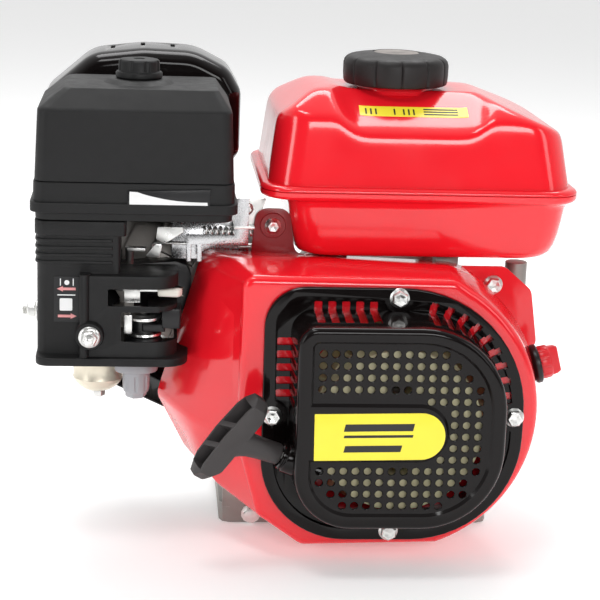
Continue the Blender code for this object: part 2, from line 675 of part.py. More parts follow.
def make_switch():
    outward = Vector((math.cos(SWITCH_ANGLE), 0, math.sin(SWITCH_ANGLE)))
    inward = turned([(0, 90), (8.4, 90), (8.4, 107), (13.5, 107), (13.5, 110), (0, 110)],
                    CRANK + AXIS_Y * SWITCH_Y, outward, 12)
    part("switch_body", inward, BLACK_PLASTIC)
    knob = turned([(0, 110 + GAP), (11.5, 110 + GAP), (11.5, 116), (9, 118), (0, 118)],
                  CRANK + AXIS_Y * SWITCH_Y, outward, 12)
    side = outward.cross(AXIS_Y)
    middle = switch_point(120)
    wing = loft([
        [middle + outward * r + AXIS_Y * 3.2 * a + side * 11 * b for a, b in FOUR_CORNERS]
        for r in (-5, 5)
    ])
    part("switch_knob", join(knob, wing), RED_PLASTIC, switch_point(112))


# ---------------------------------------------------------------- fuel tank
TANK_FLANGE_Z = 252.0
TANK_X = (-92.0, 128.0)
TANK_Y = (-82.0, 83.0)
CAP_CENTRE = (6.0, -8.0)
NECK_TOP = 317.5


def tank_ring(z, left, right, front, back, radius):
    corners = [(left, front, radius), (right, front, radius), (right, back, radius), (left, back, radius)]
    return placed(rounded(corners, 3), "Z", z)


def make_tank():
    x0, x1 = TANK_X
    y0, y1 = TANK_Y
    upper = loft([
        tank_ring(TANK_FLANGE_Z, x0, x1, y0, y1, 26),
        tank_ring(TANK_FLANGE_Z + 3, x0, x1, y0, y1, 26),
        tank_ring(TANK_FLANGE_Z + 5, x0 + 6, x1 - 5, y0 + 6, y1 - 6, 24),
        tank_ring(287, x0 + 10, x1 - 11, y0 + 10, y1 - 10, 24),
        tank_ring(303, x0 + 13, x1 - 20, y0 + 16, y1 - 14, 22),
        tank_ring(311, x0 + 20, x1 - 34, y0 + 28, y1 - 24, 20),
        tank_ring(316.4, x0 + 34, x1 - 52, y0 + 40, y1 - 36, 18),
    ])
    neck = rod((*CAP_CENTRE, 300), (*CAP_CENTRE, NECK_TOP + 4), 27, 20)
    inside = loft([
        tank_ring(TANK_FLANGE_Z - 2, x0 + 8, x1 - 7, y0 + 8, y1 - 8, 22),
        tank_ring(287, x0 + 12, x1 - 13, y0 + 12, y1 - 12, 22),
        tank_ring(302, x0 + 15, x1 - 22, y0 + 18, y1 - 16, 20),
        tank_ring(309, x0 + 22, x1 - 36, y0 + 30, y1 - 26, 18),
        tank_ring(314.4, x0 + 36, x1 - 54, y0 + 42, y1 - 38, 16),
    ])
    filler = rod((*CAP_CENTRE, 290), (*CAP_CENTRE, NECK_TOP + 10), 24.5, 20)
    part("fuel_tank_upper", cut(join(upper, neck), inside, filler), RED_PAINT)

    flange_top = TANK_FLANGE_Z - GAP
    lower = loft([
        tank_ring(TANK_BOTTOM, x0 + 36, x1 - 20, y0 + 20, y1 - 20, 20),
        tank_ring(210, x0 + 28, x1 - 13, y0 + 14, y1 - 14, 24),
        tank_ring(222, x0 + 23, x1 - 9, y0 + 10, y1 - 10, 26),
        tank_ring(246, x0 + 19, x1 - 6, y0 + 7, y1 - 7, 26),
        tank_ring(249.5, x0, x1, y0, y1, 26),
        tank_ring(flange_top, x0, x1, y0, y1, 26),
    ])
    bowl = loft([
        tank_ring(TANK_BOTTOM + 2, x0 + 38, x1 - 22, y0 + 22, y1 - 22, 18),
        tank_ring(223, x0 + 25, x1 - 11, y0 + 12, y1 - 12, 24),
        tank_ring(flange_top + 1, x0 + 21, x1 - 8, y0 + 9, y1 - 9, 24),
    ])
    part("fuel_tank_lower", cut(lower, bowl), RED_PAINT)


def make_fuel_cap():
    centre = (*CAP_CENTRE, 0)
    top = NECK_TOP + 4
    stem = [(0, 302), (22, 302), (23, 306), (23, top + GAP)]
    plug = turned(stem + [(26, top + GAP), (26, top + 2), (0, top + 2)], centre, UP, 16)
    part("fuel_cap_inner", plug, STEEL, (*CAP_CENTRE, top))
    lobes = 10
    inner = top + 2 + GAP
    shell = turned([(0, inner), (28 - GAP, inner), (28 - GAP, 319), (37.8, 319), (37.8, 334), (34, 337),
                    (22, 340), (0, 342)], centre, UP, 20)
    notches = [
        rod((CAP_CENTRE[0] + 38.6 * math.cos(a), CAP_CENTRE[1] + 38.6 * math.sin(a), 316),
            (CAP_CENTRE[0] + 38.6 * math.cos(a), CAP_CENTRE[1] + 38.6 * math.sin(a), 333), 3.4, 6)
        for a in (math.tau * k / lobes for k in range(lobes))
    ]
    part("fuel_cap", cut(shell, *notches), BLACK_PLASTIC, (*CAP_CENTRE, top))


# ---------------------------------------------------------------- air cleaner
CLEANER_X = (-246.0, -112.5)
CLEANER_Y = (-95.0, 10.0)
STUD = (-176.0, -42.0)


def cleaner_ring(z, side, radius=18):
    x0, x1 = CLEANER_X
    y0, y1 = CLEANER_Y
    corners = [(x0 + side, y0 + side, radius), (x1 - side, y0 + side, radius),
               (x1 - side, y1 - side, radius), (x0 + side, y1 - side, radius)]
    return placed(rounded(corners, 3), "Z", z)


def make_air_cleaner():
    walls = [cleaner_ring(258.6, 0), cleaner_ring(264, 0), cleaner_ring(264.4, 2), cleaner_ring(306, 5)]
    cover = loft(walls + [cleaner_ring(313, 9), cleaner_ring(324, 22)])
    cone = turned([(0, 320), (21, 320), (21, 324), (17, 327), (0, 327)], (*STUD, 0), UP, 24)
    hollow = loft([cleaner_ring(250, 4), cleaner_ring(305, 8), cleaner_ring(321, 24)])
    way = rod((*STUD, 300), (*STUD, 340), 5, 8)
    part("air_cleaner_cover", cut(join(cover, cone), hollow, way), BLACK_PLASTIC, (*STUD, 258))

    rim = [cleaner_ring(238.4, -1.5), cleaner_ring(243, -1.5)]
    under, above = [cleaner_ring(232.3, 6), cleaner_ring(238, 6)], [cleaner_ring(243.4, 1), cleaner_ring(258.3, 1)]
    case = loft(under + rim + above)
    tray = loft([cleaner_ring(240, 6), cleaner_ring(264, 6)])
    way_down = rod((-214, -54, 225), (-214, -54, 250), 20, 12)
    stud_way = rod((*STUD, 225), (*STUD, 250), 3.5, 8)
    part("air_cleaner_case", cut(case, tray, way_down, stud_way), BLACK_PLASTIC)

    element = loft([cleaner_ring(241, 14), cleaner_ring(300, 14)])
    middle = loft([cleaner_ring(236, 26), cleaner_ring(290, 26)])
    element_way = rod((*STUD, 280), (*STUD, 310), 6, 8)
    part("air_filter_element", cut(element, middle, element_way), FOAM)

    collar = [(2.6, 240.4), (5, 240.4), (5, 243), (2.6, 243)]
    stud = turned([(0, 232.6), (2.6, 232.6)] + collar + [(2.6, 334), (0, 334)], (*STUD, 0), UP, 8)
    part("air_cleaner_stud", stud, ZINC)

    knob = turned([(0, 334.5), (2.6 + GAP, 334.5), (2.6 + GAP, 327.4), (15, 327.4), (15.5, 335), (14, 338),
                   (0, 338)], (*STUD, 0), UP, 16)
    grips = [
        rod((STUD[0] + 17 * math.cos(a), STUD[1] + 17 * math.sin(a), 325),
            (STUD[0] + 17 * math.cos(a), STUD[1] + 17 * math.sin(a), 340), 3.4, 6)
        for a in (math.tau * k / 6 for k in range(6))
    ]
    part("air_cleaner_knob", cut(knob, *grips), BLACK_PLASTIC, (*STUD, 327))


DUCT_X = (-243.0, -187.0)
NUT_BOSS = (-207.0, 155.0)
SIDE_NUT = (-62.0, 168.0)


def make_air_cleaner_base():
    """The moulded elbow: a duct down to the carburetor, and a box about the two levers."""
    x0, x1 = DUCT_X
    duct = loft([
        placed(rounded([(x0 + a, -92, 7), (x1, -92, 3), (x1, -26, 6), (x0 + a, -26, 12)]), "Z", z)
        for a, z in ((5, 134), (0, 224))
    ])
    ribs = [
        placed(rounded([(x0 - 1.5, -93.4, 7), (x1, -93.4, 2), (x1, -26, 6), (x0 - 1.5, -26, 12)]), "Z", z)
        for z in (206, 210, 216, 220)
    ]
    rib_solids = [loft([ribs[k], ribs[k + 1]]) for k in range(0, len(ribs), 2)]
    top_plan = [(x0 - 2, -94, 8), (x1 + 4, -94, 4), (x1 + 4, -24, 6), (x0 - 2, -24, 12)]
    top = prism(rounded(top_plan), "Z", 223.5, 232)
    lever_box_plan = [(-212, -98, 4), (-162, -98, 4), (-146, -82, 8), (-146, -60, 3), (-212, -60, 3)]
    lever_box = prism(rounded(lever_box_plan), "Z", 134, 196)
    sole_plan = [(-243, -98, 12), (-158, -98, 4), (-140, -80, 10), (-140, -58, 3), (-243, -58, 3)]
    sole = prism(rounded(sole_plan), "Z", 134, 140)
    boss = rod((NUT_BOSS[0], -78, NUT_BOSS[1]), (NUT_BOSS[0], -104, NUT_BOSS[1]), 10)
    side_boss = rod((-236, SIDE_NUT[0], SIDE_NUT[1]), (-244, SIDE_NUT[0], SIDE_NUT[1]), 7, 10)
    body = join(duct, *rib_solids, top, lever_box, sole, boss, side_boss)
    down = [(x0 + 8, -88, 4), (x1 - 4, -88, 2), (x1 - 4, -76.5, 2), (x0 + 8, -76.5, 4)]
    across = [(x0 + 8, -88, 4), (x1 - 4, -88, 2), (x1 - 4, -32, 4), (x0 + 8, -32, 8)]
    air_ways = [prism(rounded(down), "Z", 158, 240), prism(rounded(across), "Z", 208, 240)]
    mouth = rod((THROAT[0], -80, THROAT[1]), (THROAT[0], -70, THROAT[1]), 12)
    carburetor_room = box(-222, -130, -74, -10, 130, 204)
    cock_way = rod((*CUP, 130), (*CUP, 146), 10.5)
    lever_room_plan = [(-196, -94.5, 3), (-164, -94.5, 3), (-150, -81, 6), (-150, -50, 1), (-196, -50, 1)]
    lever_room = prism(rounded(lever_room_plan), "Z", 143, 193)
    choke_window = box(-195, -130, -110, -62, 175, 187)
    fuel_window = box(-186, -130, -110, -62, 150, 171)
    stud_way = rod((NUT_BOSS[0], -60, NUT_BOSS[1]), (NUT_BOSS[0], -110, NUT_BOSS[1]), 3.4, 8)
    windows = [choke_window, fuel_window]
    part(
        "air_cleaner_base",
        cut(body, *air_ways, mouth, carburetor_room, cock_way, lever_room, *windows, stud_way),
        BLACK_PLASTIC,
    )
    front_nut = hexagon_bolt((NUT_BOSS[0], -104 - GAP, NUT_BOSS[1]), -AXIS_Y, 10, 6, 7.5, 3, 28)
    part("elbow_nut_front", front_nut, ZINC)
    side_nut = hexagon_bolt((-244 - GAP, SIDE_NUT[0], SIDE_NUT[1]), (-1, 0, 0), 9, 5, 6.5, 2.4, 0.2)
    part("elbow_screw_side", side_nut, ZINC)


# ---------------------------------------------------------------- carburetor
THROAT = (-198.0, 172.0)
BOWL = (-202.5, -50.0)
CUP = (-175.5, -70.0)
CHOKE_PIVOT = (-188.0, -80.0)
FUEL_PIVOT = (-170.5, -80.0)
MANIFOLD_Y = (-50.0, -34.0 - GAP)


def make_carburetor():
    body = join(
        rod((THROAT[0], -73.5, THROAT[1]), (THROAT[0], MANIFOLD_Y[0] - GAP, THROAT[1]), 19, 16),
        rod((*BOWL, 135), (*BOWL, 152.5), 15, 16),
        box(-212, -192, -66, -51, 140, 162),
        box(-192, -184, -84, -70, 167, 171.5),
        rod((*BOWL, 131.5), (*BOWL, 136), 18.5, 16),
        box(-218, -178, -60, MANIFOLD_Y[0] - GAP, 150, 194),
        rod((*CUP, 133.8), (*CUP, 151.5), 9),
        box(-200, -174, -70, -58, 142, 150),
    )
    throat = rod((THROAT[0], -80, THROAT[1]), (THROAT[0], -30, THROAT[1]), 11)
    bowl_way = rod((*BOWL, 128), (*BOWL, 149), 5.4)
    part("carburetor_body", cut(body, throat, bowl_way), ALUMINIUM)

    bowl_outside = [(0, 102), (7, 102), (10, 104), (17.5, 112), (17.5, 131.2)]
    bowl_inside = [(16, 131.2), (16, 113), (8, 105.5), (0, 105.5)]
    bowl = turned(bowl_outside + bowl_inside, (*BOWL, 0), UP, 20)
    bolt_way = rod((*BOWL, 95), (*BOWL, 110), 4 + GAP, 12)
    part("float_bowl", cut(bowl, bolt_way), BOWL_METAL)
    bolt = join(
        turned([(0, 99.5), (6.5, 99.5), (6.5, 101.7), (0, 101.7)], (*BOWL, 0), UP, 12),
        turned([(0, 94.5), (4.4, 94.5), (5.2, 95.5), (5.2, 100), (0, 100)], (*BOWL, 0), UP, 6),
        rod((*BOWL, 101), (*BOWL, 146), 4, 8),
    )
    part("bowl_drain_bolt", bolt, ZINC)

    cock = join(rod((*CUP, 122.5), (*CUP, 130), 10.5), rod((*CUP, 126), (*CUP, 133.5), 14, 16))
    part("fuel_cock_body", cock, ALUMINIUM)
    cup = turned([(0, 107), (5, 107), (8, 110), (9.2, 122.2), (0, 122.2)], (CUP[0], CUP[1], 0), UP, 16)
    nut = turned([(0, 104.5), (6, 104.5), (6, 108), (0, 108)], (CUP[0], CUP[1], 0), UP, 6)
    part("sediment_cup", join(cup, nut), GREY_PLASTIC)


def make_insulator():
    """The intake passage between the cylinder head and the carburetor, in heat-proof plastic."""
    y0, y1 = MANIFOLD_Y
    port = on_cylinder(DECK + 37)
    lower_edge = [(-217, 153, 8), (-180, 153, 8), (-138, 160, 10)]
    upper_edge = [(-138, 196, 10), (-180, 193, 8), (-217, 193, 8)]
    plate = prism(rounded(lower_edge + upper_edge), "Y", y0, y1)
    front = rod((THROAT[0], y0 - 4, THROAT[1]), (THROAT[0], y0 + 10, THROAT[1]), 11)
    back = rod((port.x, y1 - 8, port.z), (port.x, y1 + 4, port.z), 11)
    between = box(THROAT[0], port.x, y0 + 5, y1 - 5, 166, 180)
    part("insulator", cut(plate, front, back, between), BLACK_PLASTIC)


def lever(path, thick, z0, z1):
    """A flat lever in the XY plane: a rounded bar along a straight path."""
    (xa, ya), (xb, yb) = path
    run = Vector((xb - xa, yb - ya)).normalized() * thick
    side = Vector((-run.y, run.x))
    start, end = Vector((xa, ya)), Vector((xb, yb))
    round_end = [(0.5, 1), (1, 0.3), (1, -0.3), (0.5, -1)]
    outline = [tuple(start - run * back + side * across) for back, across in round_end]
    outline += [tuple(end - side), tuple(end + side)]
    return prism(outline, "Z", z0, z1)


def make_choke_lever():
    shaft = rod((*CHOKE_PIVOT, 171.5 + GAP), (*CHOKE_PIVOT, 186), 2.2, 10)
    arm = lever((CHOKE_PIVOT, (-172, -87)), 3.2, 180, 183)
    knob = loft([
        placed(rounded([(x0, d - 92, 2), (-144, d - 93, 2), (-144, -83 - d, 2), (x0, -82 - d, 2)]), "Z", z)
        for z, x0, d in ((177.5, -172, 1.5), (179, -175, 0), (183.5, -175, 0), (185, -172, 1.5))
    ])
    part("choke_lever", join(shaft, arm, knob), WHITE_PLASTIC, (*CHOKE_PIVOT, 170))


def make_fuel_lever():
    hub = rod((*FUEL_PIVOT, 153), (*FUEL_PIVOT, 167), 11, 16)
    arm = lever((FUEL_PIVOT, (-154, -84)), 5, 156, 166)
    knob = prism(rounded([(-158, -92, 2), (-142, -90, 2), (-142, -78, 2), (-158, -76, 2)]), "Z", 154, 169.5)
    part("fuel_lever", join(hub, arm, knob), BLACK_PLASTIC, (*FUEL_PIVOT, 152))


# ---------------------------------------------------------------- controls
def make_controls():
    plate = box(-152, -98, -52.5, -50.5, 198, 230)
    shelf = box(-152, -98, -52.5, -40, 228, 230)
    pin_way = rod((LEVER_PIVOT.x, -70, LEVER_PIVOT.z), (LEVER_PIVOT.x, -30, LEVER_PIVOT.z), 3 + GAP)
    part("control_plate", cut(join(plate, shelf), pin_way), ZINC)

    pin = rod(LEVER_PIVOT + AXIS_Y * 12, LEVER_PIVOT, 3)
    tongue = box(-109, -99, LEVER_PIVOT.y, LEVER_PIVOT.y + 2, 210, 251)
    arm = box(-142, -101, LEVER_PIVOT.y, LEVER_PIVOT.y + 2, 210, 217)
    fork = box(-142, -131, LEVER_PIVOT.y, LEVER_PIVOT.y + 2, 198, 214)
    notch = box(-138.5, -134.5, -63, -50, 190, 210)
    part("throttle_lever", cut(join(pin, tongue, arm, fork), notch), ZINC, LEVER_PIVOT)

    pivot = GOVERNOR_PIVOT
    shaft = rod(pivot + AXIS_Y * 10, pivot - AXIS_Y * 0.5, 4)
    arm = box(pivot.x - 3.5, pivot.x + 3.5, -53.2, -51.2, 142, 213)
    part("governor_arm", join(shaft, arm), ZINC, pivot)
    rod_start = Vector((-166, -54.8, GOVERNOR_ROD_Z))
    rod_end = Vector((pivot.x + 2, -54.8, GOVERNOR_ROD_Z))
    part("governor_rod", rod(rod_start, rod_end, 1.1, 8), ZINC, rod_end)
    shaft = rod(THROTTLE_PIVOT, THROTTLE_PIVOT + UP * 12, 3)
    arm = lever((THROTTLE_PIVOT[:2], (THROTTLE_PIVOT.x + 11, THROTTLE_PIVOT.y - 1)), 3.2, 204, 206.5)
    part("throttle_arm", join(shaft, arm), ZINC, THROTTLE_PIVOT)


# ---------------------------------------------------------------- exhaust
def muffler_ring(y, grow):
    corners = [(-239 - grow, 246, 12), (-238 - grow, 300 + grow, 24), (-205, 322 + grow, 20),
               (-146, 328 + grow, 20), (-112 + grow, 312 + grow, 18), (-108 + grow, 246, 12)]
    return placed(rounded(corners), "Y", y)


def make_muffler():
    can = loft([muffler_ring(36, -3), muffler_ring(41, 0), muffler_ring(79, 0), muffler_ring(84, -3)])
    port = on_cylinder(DECK + 37)
    down = rod((port.x, 60, port.z - 6), (port.x, 60, 250), 13)
    flange = prism(circle((port.x, port.z), 17, 16), "Y", 46 + GAP, 60)
    passage = rod((port.x, 40, port.z), (port.x, 56, port.z), 11)
    outlet = rod((-222, 60, 262), (-262, 60, 262), 6, 8)
    part("muffler", cut(join(can, down, flange), passage, outlet), CAST_IRON)

    outer = loft([muffler_ring(24, 3), muffler_ring(29, 7), muffler_ring(88, 7)])
    inner = loft([muffler_ring(26, 2), muffler_ring(30, 5.5), muffler_ring(92, 5.5)])
    below = box(-300, -60, 10, 100, 200, 250)
    vents = [box(x - 5, x + 5, 34, 82, 300, 350) for x in range(-205, -134, 16)]
    part("muffler_guard", cut(outer, inner, below, *vents), BLACK_PAINT)


def make_drain_bolt():
    part("oil_drain_bolt", hexagon_bolt((-91, CASE_FRONT - GAP, 7.2), -AXIS_Y, length=0.2), ZINC)


def main():
    clear_scene()
    make_cylinder_block()
    make_crankcase_cover()
    make_oil_dipstick()
    make_head()
    make_spark_plug()
    make_lower_shroud()
    make_crankshaft()
    make_timing()
    make_piston_and_rod()
    make_flywheel()
    make_fan_cover()
    make_recoil_cover()
    make_starter_reel()
    make_starter_grip()
    make_ignition_coil()
    make_switch()
    make_tank()
    make_fuel_cap()
    make_air_cleaner()
    make_air_cleaner_base()
    make_carburetor()
    make_insulator()
    make_choke_lever()
    make_fuel_lever()
    make_controls()
    make_muffler()
    make_drain_bolt()


main()
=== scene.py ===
"""The visual model of the small gasoline engine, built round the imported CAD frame.

Lengths in this file are millimetres until a mesh is made; CAD positions come from the frame.
+Z up, the crankshaft along Y at x = 0, and -Y is the recoil starter side.
"""
import math

import bmesh
import bpy
import numpy as np
from mathutils import Matrix, Vector


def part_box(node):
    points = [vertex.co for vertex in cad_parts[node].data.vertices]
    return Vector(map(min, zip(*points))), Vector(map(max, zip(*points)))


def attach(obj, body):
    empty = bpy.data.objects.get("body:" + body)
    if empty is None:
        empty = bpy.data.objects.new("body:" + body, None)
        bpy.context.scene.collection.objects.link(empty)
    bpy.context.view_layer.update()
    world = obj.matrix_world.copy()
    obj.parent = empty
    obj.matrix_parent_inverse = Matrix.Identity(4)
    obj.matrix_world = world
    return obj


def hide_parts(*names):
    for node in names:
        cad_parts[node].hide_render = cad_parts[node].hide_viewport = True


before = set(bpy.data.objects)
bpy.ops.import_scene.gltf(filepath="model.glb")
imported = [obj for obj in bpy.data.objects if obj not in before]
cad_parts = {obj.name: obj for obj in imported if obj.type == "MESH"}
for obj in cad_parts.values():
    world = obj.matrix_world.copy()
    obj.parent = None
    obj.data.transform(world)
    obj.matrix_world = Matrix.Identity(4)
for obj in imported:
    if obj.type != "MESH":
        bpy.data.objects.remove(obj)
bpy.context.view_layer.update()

MM = 0.001
AXIS_Y = Vector((0.0, 1.0, 0.0))
UP = Vector((0.0, 0.0, 1.0))
CRANK = Vector((0.0, 0.0, 106.0))


# ------------------------------------------------------------------ camera, floor and light
def look_rotation(yaw, pitch, roll):
    """Camera axes for a view turned right by yaw, down by pitch, and rolled."""
    forward = Vector((math.sin(yaw) * math.cos(pitch), math.cos(yaw) * math.cos(pitch), -math.sin(pitch)))
    right = Vector((math.cos(yaw), -math.sin(yaw), 0.0))
    up = right.cross(forward)
    turned_right = right * math.cos(roll) + up * math.sin(roll)
    turned_up = up * math.cos(roll) - right * math.sin(roll)
    return Matrix((turned_right, turned_up, -forward)).transposed()


def make_camera():
    data = bpy.data.cameras.new("camera")
    data.sensor_width = 36.0
    data.lens = 104.1
    camera = bpy.data.objects.new("camera", data)
    angles = (math.radians(5.251), math.radians(14.390), math.radians(2.063))
    camera.matrix_world = Matrix.Translation((-0.1696, -1.2382, 0.4747)) @ look_rotation(*angles).to_4x4()
    bpy.context.scene.collection.objects.link(camera)
    bpy.context.scene.camera = camera


def area_light(name, place, target, size, power, colour=(1.0, 1.0, 1.0)):
    data = bpy.data.lights.new(name, "AREA")
    data.shape = "RECTANGLE"
    data.size, data.size_y = size
    data.energy = power
    data.color = colour
    light = bpy.data.objects.new(name, data)
    light.location = place
    direction = Vector(target) - Vector(place)
    light.rotation_euler = direction.to_track_quat("-Z", "Y").to_euler()
    bpy.context.scene.collection.objects.link(light)
    return light


ROOM_DARK, ROOM_BRIGHT = 0.10, 0.85


def make_stage():
    bm = bmesh.new()
    bmesh.ops.create_grid(bm, x_segments=1, y_segments=1, size=6.0)
    mesh = bpy.data.meshes.new("floor")
    bm.to_mesh(mesh)
    bm.free()
    floor = bpy.data.objects.new("floor", mesh)
    floor.location = (0.0, 0.0, -0.0004)
    bpy.context.scene.collection.objects.link(floor)
    paint = simple_material("floor_paint", (0.90, 0.90, 0.90), 0.6, specular=0.1)
    glow = paint.node_tree.nodes["Principled BSDF"]
    glow.inputs["Emission Color"].default_value = (1.0, 1.0, 1.0, 1.0)
    glow.inputs["Emission Strength"].default_value = 0.24
    floor.data.materials.append(paint)

    world = bpy.data.worlds.new("studio")
    bpy.context.scene.world = world
    world.use_nodes = True
    tree = world.node_tree
    tree.nodes["Background"].inputs["Color"].default_value = (1.0, 1.0, 1.0, 1.0)
    direction = tree.nodes.new("ShaderNodeTexCoord")
    split = tree.nodes.new("ShaderNodeSeparateXYZ")
    shade = tree.nodes.new("ShaderNodeMapRange")
    shade.inputs["From Min"].default_value = -0.7
    shade.inputs["From Max"].default_value = 0.2
    shade.inputs["To Min"].default_value = ROOM_DARK
    shade.inputs["To Max"].default_value = ROOM_BRIGHT
    tree.links.new(direction.outputs["Generated"], split.inputs["Vector"])
    tree.links.new(split.outputs["Y"], shade.inputs["Value"])
    tree.links.new(shade.outputs["Result"], tree.nodes["Background"].inputs["Strength"])
    area_light("key", (0.2, -2.05, 0.95), (0, 0, 0.15), (1.1, 0.5), 15)
    area_light("overhead", (-0.5, -0.6, 2.1), (-0.1, 0, 0.2), (0.7, 0.4), 9)
    area_light("left", (-1.9, -1.2, 0.8), (0, 0, 0.15), (0.5, 1.2), 9)
    area_light("fill", (1.6, -1.3, 1.0), (0, 0, 0.15), (0.5, 1.1), 5)
    area_light("top", (0.0, 0.9, 1.9), (0, 0, 0.2), (1.6, 0.8), 24)
    bpy.context.scene.view_settings.view_transform = "Standard"
    bpy.context.scene.view_settings.look = "None"


# ------------------------------------------------------------------ materials
def simple_material(name, colour, roughness, metallic=0.0, specular=0.5, coat=0.0):
    material = bpy.data.materials.new(name)
    material.use_nodes = True
    shader = material.node_tree.nodes["Principled BSDF"]
    shader.inputs["Base Color"].default_value = (*colour, 1.0)
    shader.inputs["Roughness"].default_value = roughness
    shader.inputs["Metallic"].default_value = metallic
    shader.inputs["Specular IOR Level"].default_value = specular
    shader.inputs["Coat Weight"].default_value = coat
    shader.inputs["Coat Roughness"].default_value = 0.04
    return material


class Surface:
    """A Principled material with its colour, roughness and bump driven by noise in object space."""

    def __init__(self, name, colour, roughness, metallic=0.0, specular=0.5, coat=0.0):
        self.material = simple_material(name, colour, roughness, metallic, specular, coat)
        self.tree = self.material.node_tree
        self.shader = self.tree.nodes["Principled BSDF"]
        self.colour = colour
        self.roughness = roughness
        self.coords = self.tree.nodes.new("ShaderNodeTexCoord")
        self.height = None

    def noise(self, scale, detail=3.0, stretch=None):
        source = self.coords.outputs["Object"]
        if stretch:
            mapping = self.tree.nodes.new("ShaderNodeMapping")
            mapping.inputs["Scale"].default_value = stretch
            self.tree.links.new(source, mapping.inputs["Vector"])
            source = mapping.outputs["Vector"]
        node = self.tree.nodes.new("ShaderNodeTexNoise")
        node.inputs["Scale"].default_value = scale
        node.inputs["Detail"].default_value = detail
        self.tree.links.new(source, node.inputs["Vector"])
        return node.outputs["Fac"]

    def ramp(self, factor, low, high, colour_low, colour_high):
        node = self.tree.nodes.new("ShaderNodeValToRGB")
        node.color_ramp.elements[0].position = low
        node.color_ramp.elements[1].position = high
        node.color_ramp.elements[0].color = (*colour_low, 1.0)
        node.color_ramp.elements[1].color = (*colour_high, 1.0)
        self.tree.links.new(factor, node.inputs["Fac"])
        return node.outputs["Color"]

    def vary_colour(self, scale, amount, detail=3.0, stretch=None):
        """Mottles the colour by amount each way."""
        low = tuple(c * (1 - amount) for c in self.colour)
        high = tuple(min(1.0, c * (1 + amount)) for c in self.colour)
        colour = self.ramp(self.noise(scale, detail, stretch), 0.3, 0.7, low, high)
        self.tree.links.new(colour, self.shader.inputs["Base Color"])
        return self

    def wear_edges(self, colour, width, strength=1.0):
        """Shows another colour along worn convex edges, found by rounding the normal with a bevel."""
        bevel = self.tree.nodes.new("ShaderNodeBevel")
        bevel.samples = 4
        bevel.inputs["Radius"].default_value = width
        geometry = self.tree.nodes.new("ShaderNodeNewGeometry")
        dot = self.tree.nodes.new("ShaderNodeVectorMath")
        dot.operation = "DOT_PRODUCT"
        self.tree.links.new(bevel.outputs["Normal"], dot.inputs[0])
        self.tree.links.new(geometry.outputs["Normal"], dot.inputs[1])
        edge = self.ramp(dot.outputs["Value"], 0.75, 0.98, (strength,) * 3, (0.0,) * 3)
        mix = self.tree.nodes.new("ShaderNodeMix")
        mix.data_type = "RGBA"
        self.tree.links.new(edge, mix.inputs["Factor"])
        socket = self.shader.inputs["Base Color"]
        if socket.is_linked:
            self.tree.links.new(socket.links[0].from_socket, mix.inputs["A"])
        else:
            mix.inputs["A"].default_value = (*self.colour, 1.0)
        mix.inputs["B"].default_value = (*colour, 1.0)
        self.tree.links.new(mix.outputs["Result"], socket)
        return self

    def vary_roughness(self, scale, amount, detail=4.0, stretch=None):
        low = max(0.02, self.roughness - amount)
        high = min(1.0, self.roughness + amount)
        value = self.ramp(self.noise(scale, detail, stretch), 0.3, 0.7, (low,) * 3, (high,) * 3)
        self.tree.links.new(value, self.shader.inputs["Roughness"])
        return self

    def bump(self, scale, distance, detail=2.0, stretch=None, strength=1.0):
        """Adds one layer of bump, in metres of height."""
        node = self.tree.nodes.new("ShaderNodeBump")
        node.inputs["Distance"].default_value = distance
        node.inputs["Strength"].default_value = strength
        self.tree.links.new(self.noise(scale, detail, stretch), node.inputs["Height"])
        if self.height:
            self.tree.links.new(self.height, node.inputs["Normal"])
        self.height = node.outputs["Normal"]
        self.tree.links.new(self.height, self.shader.inputs["Normal"])
        return self


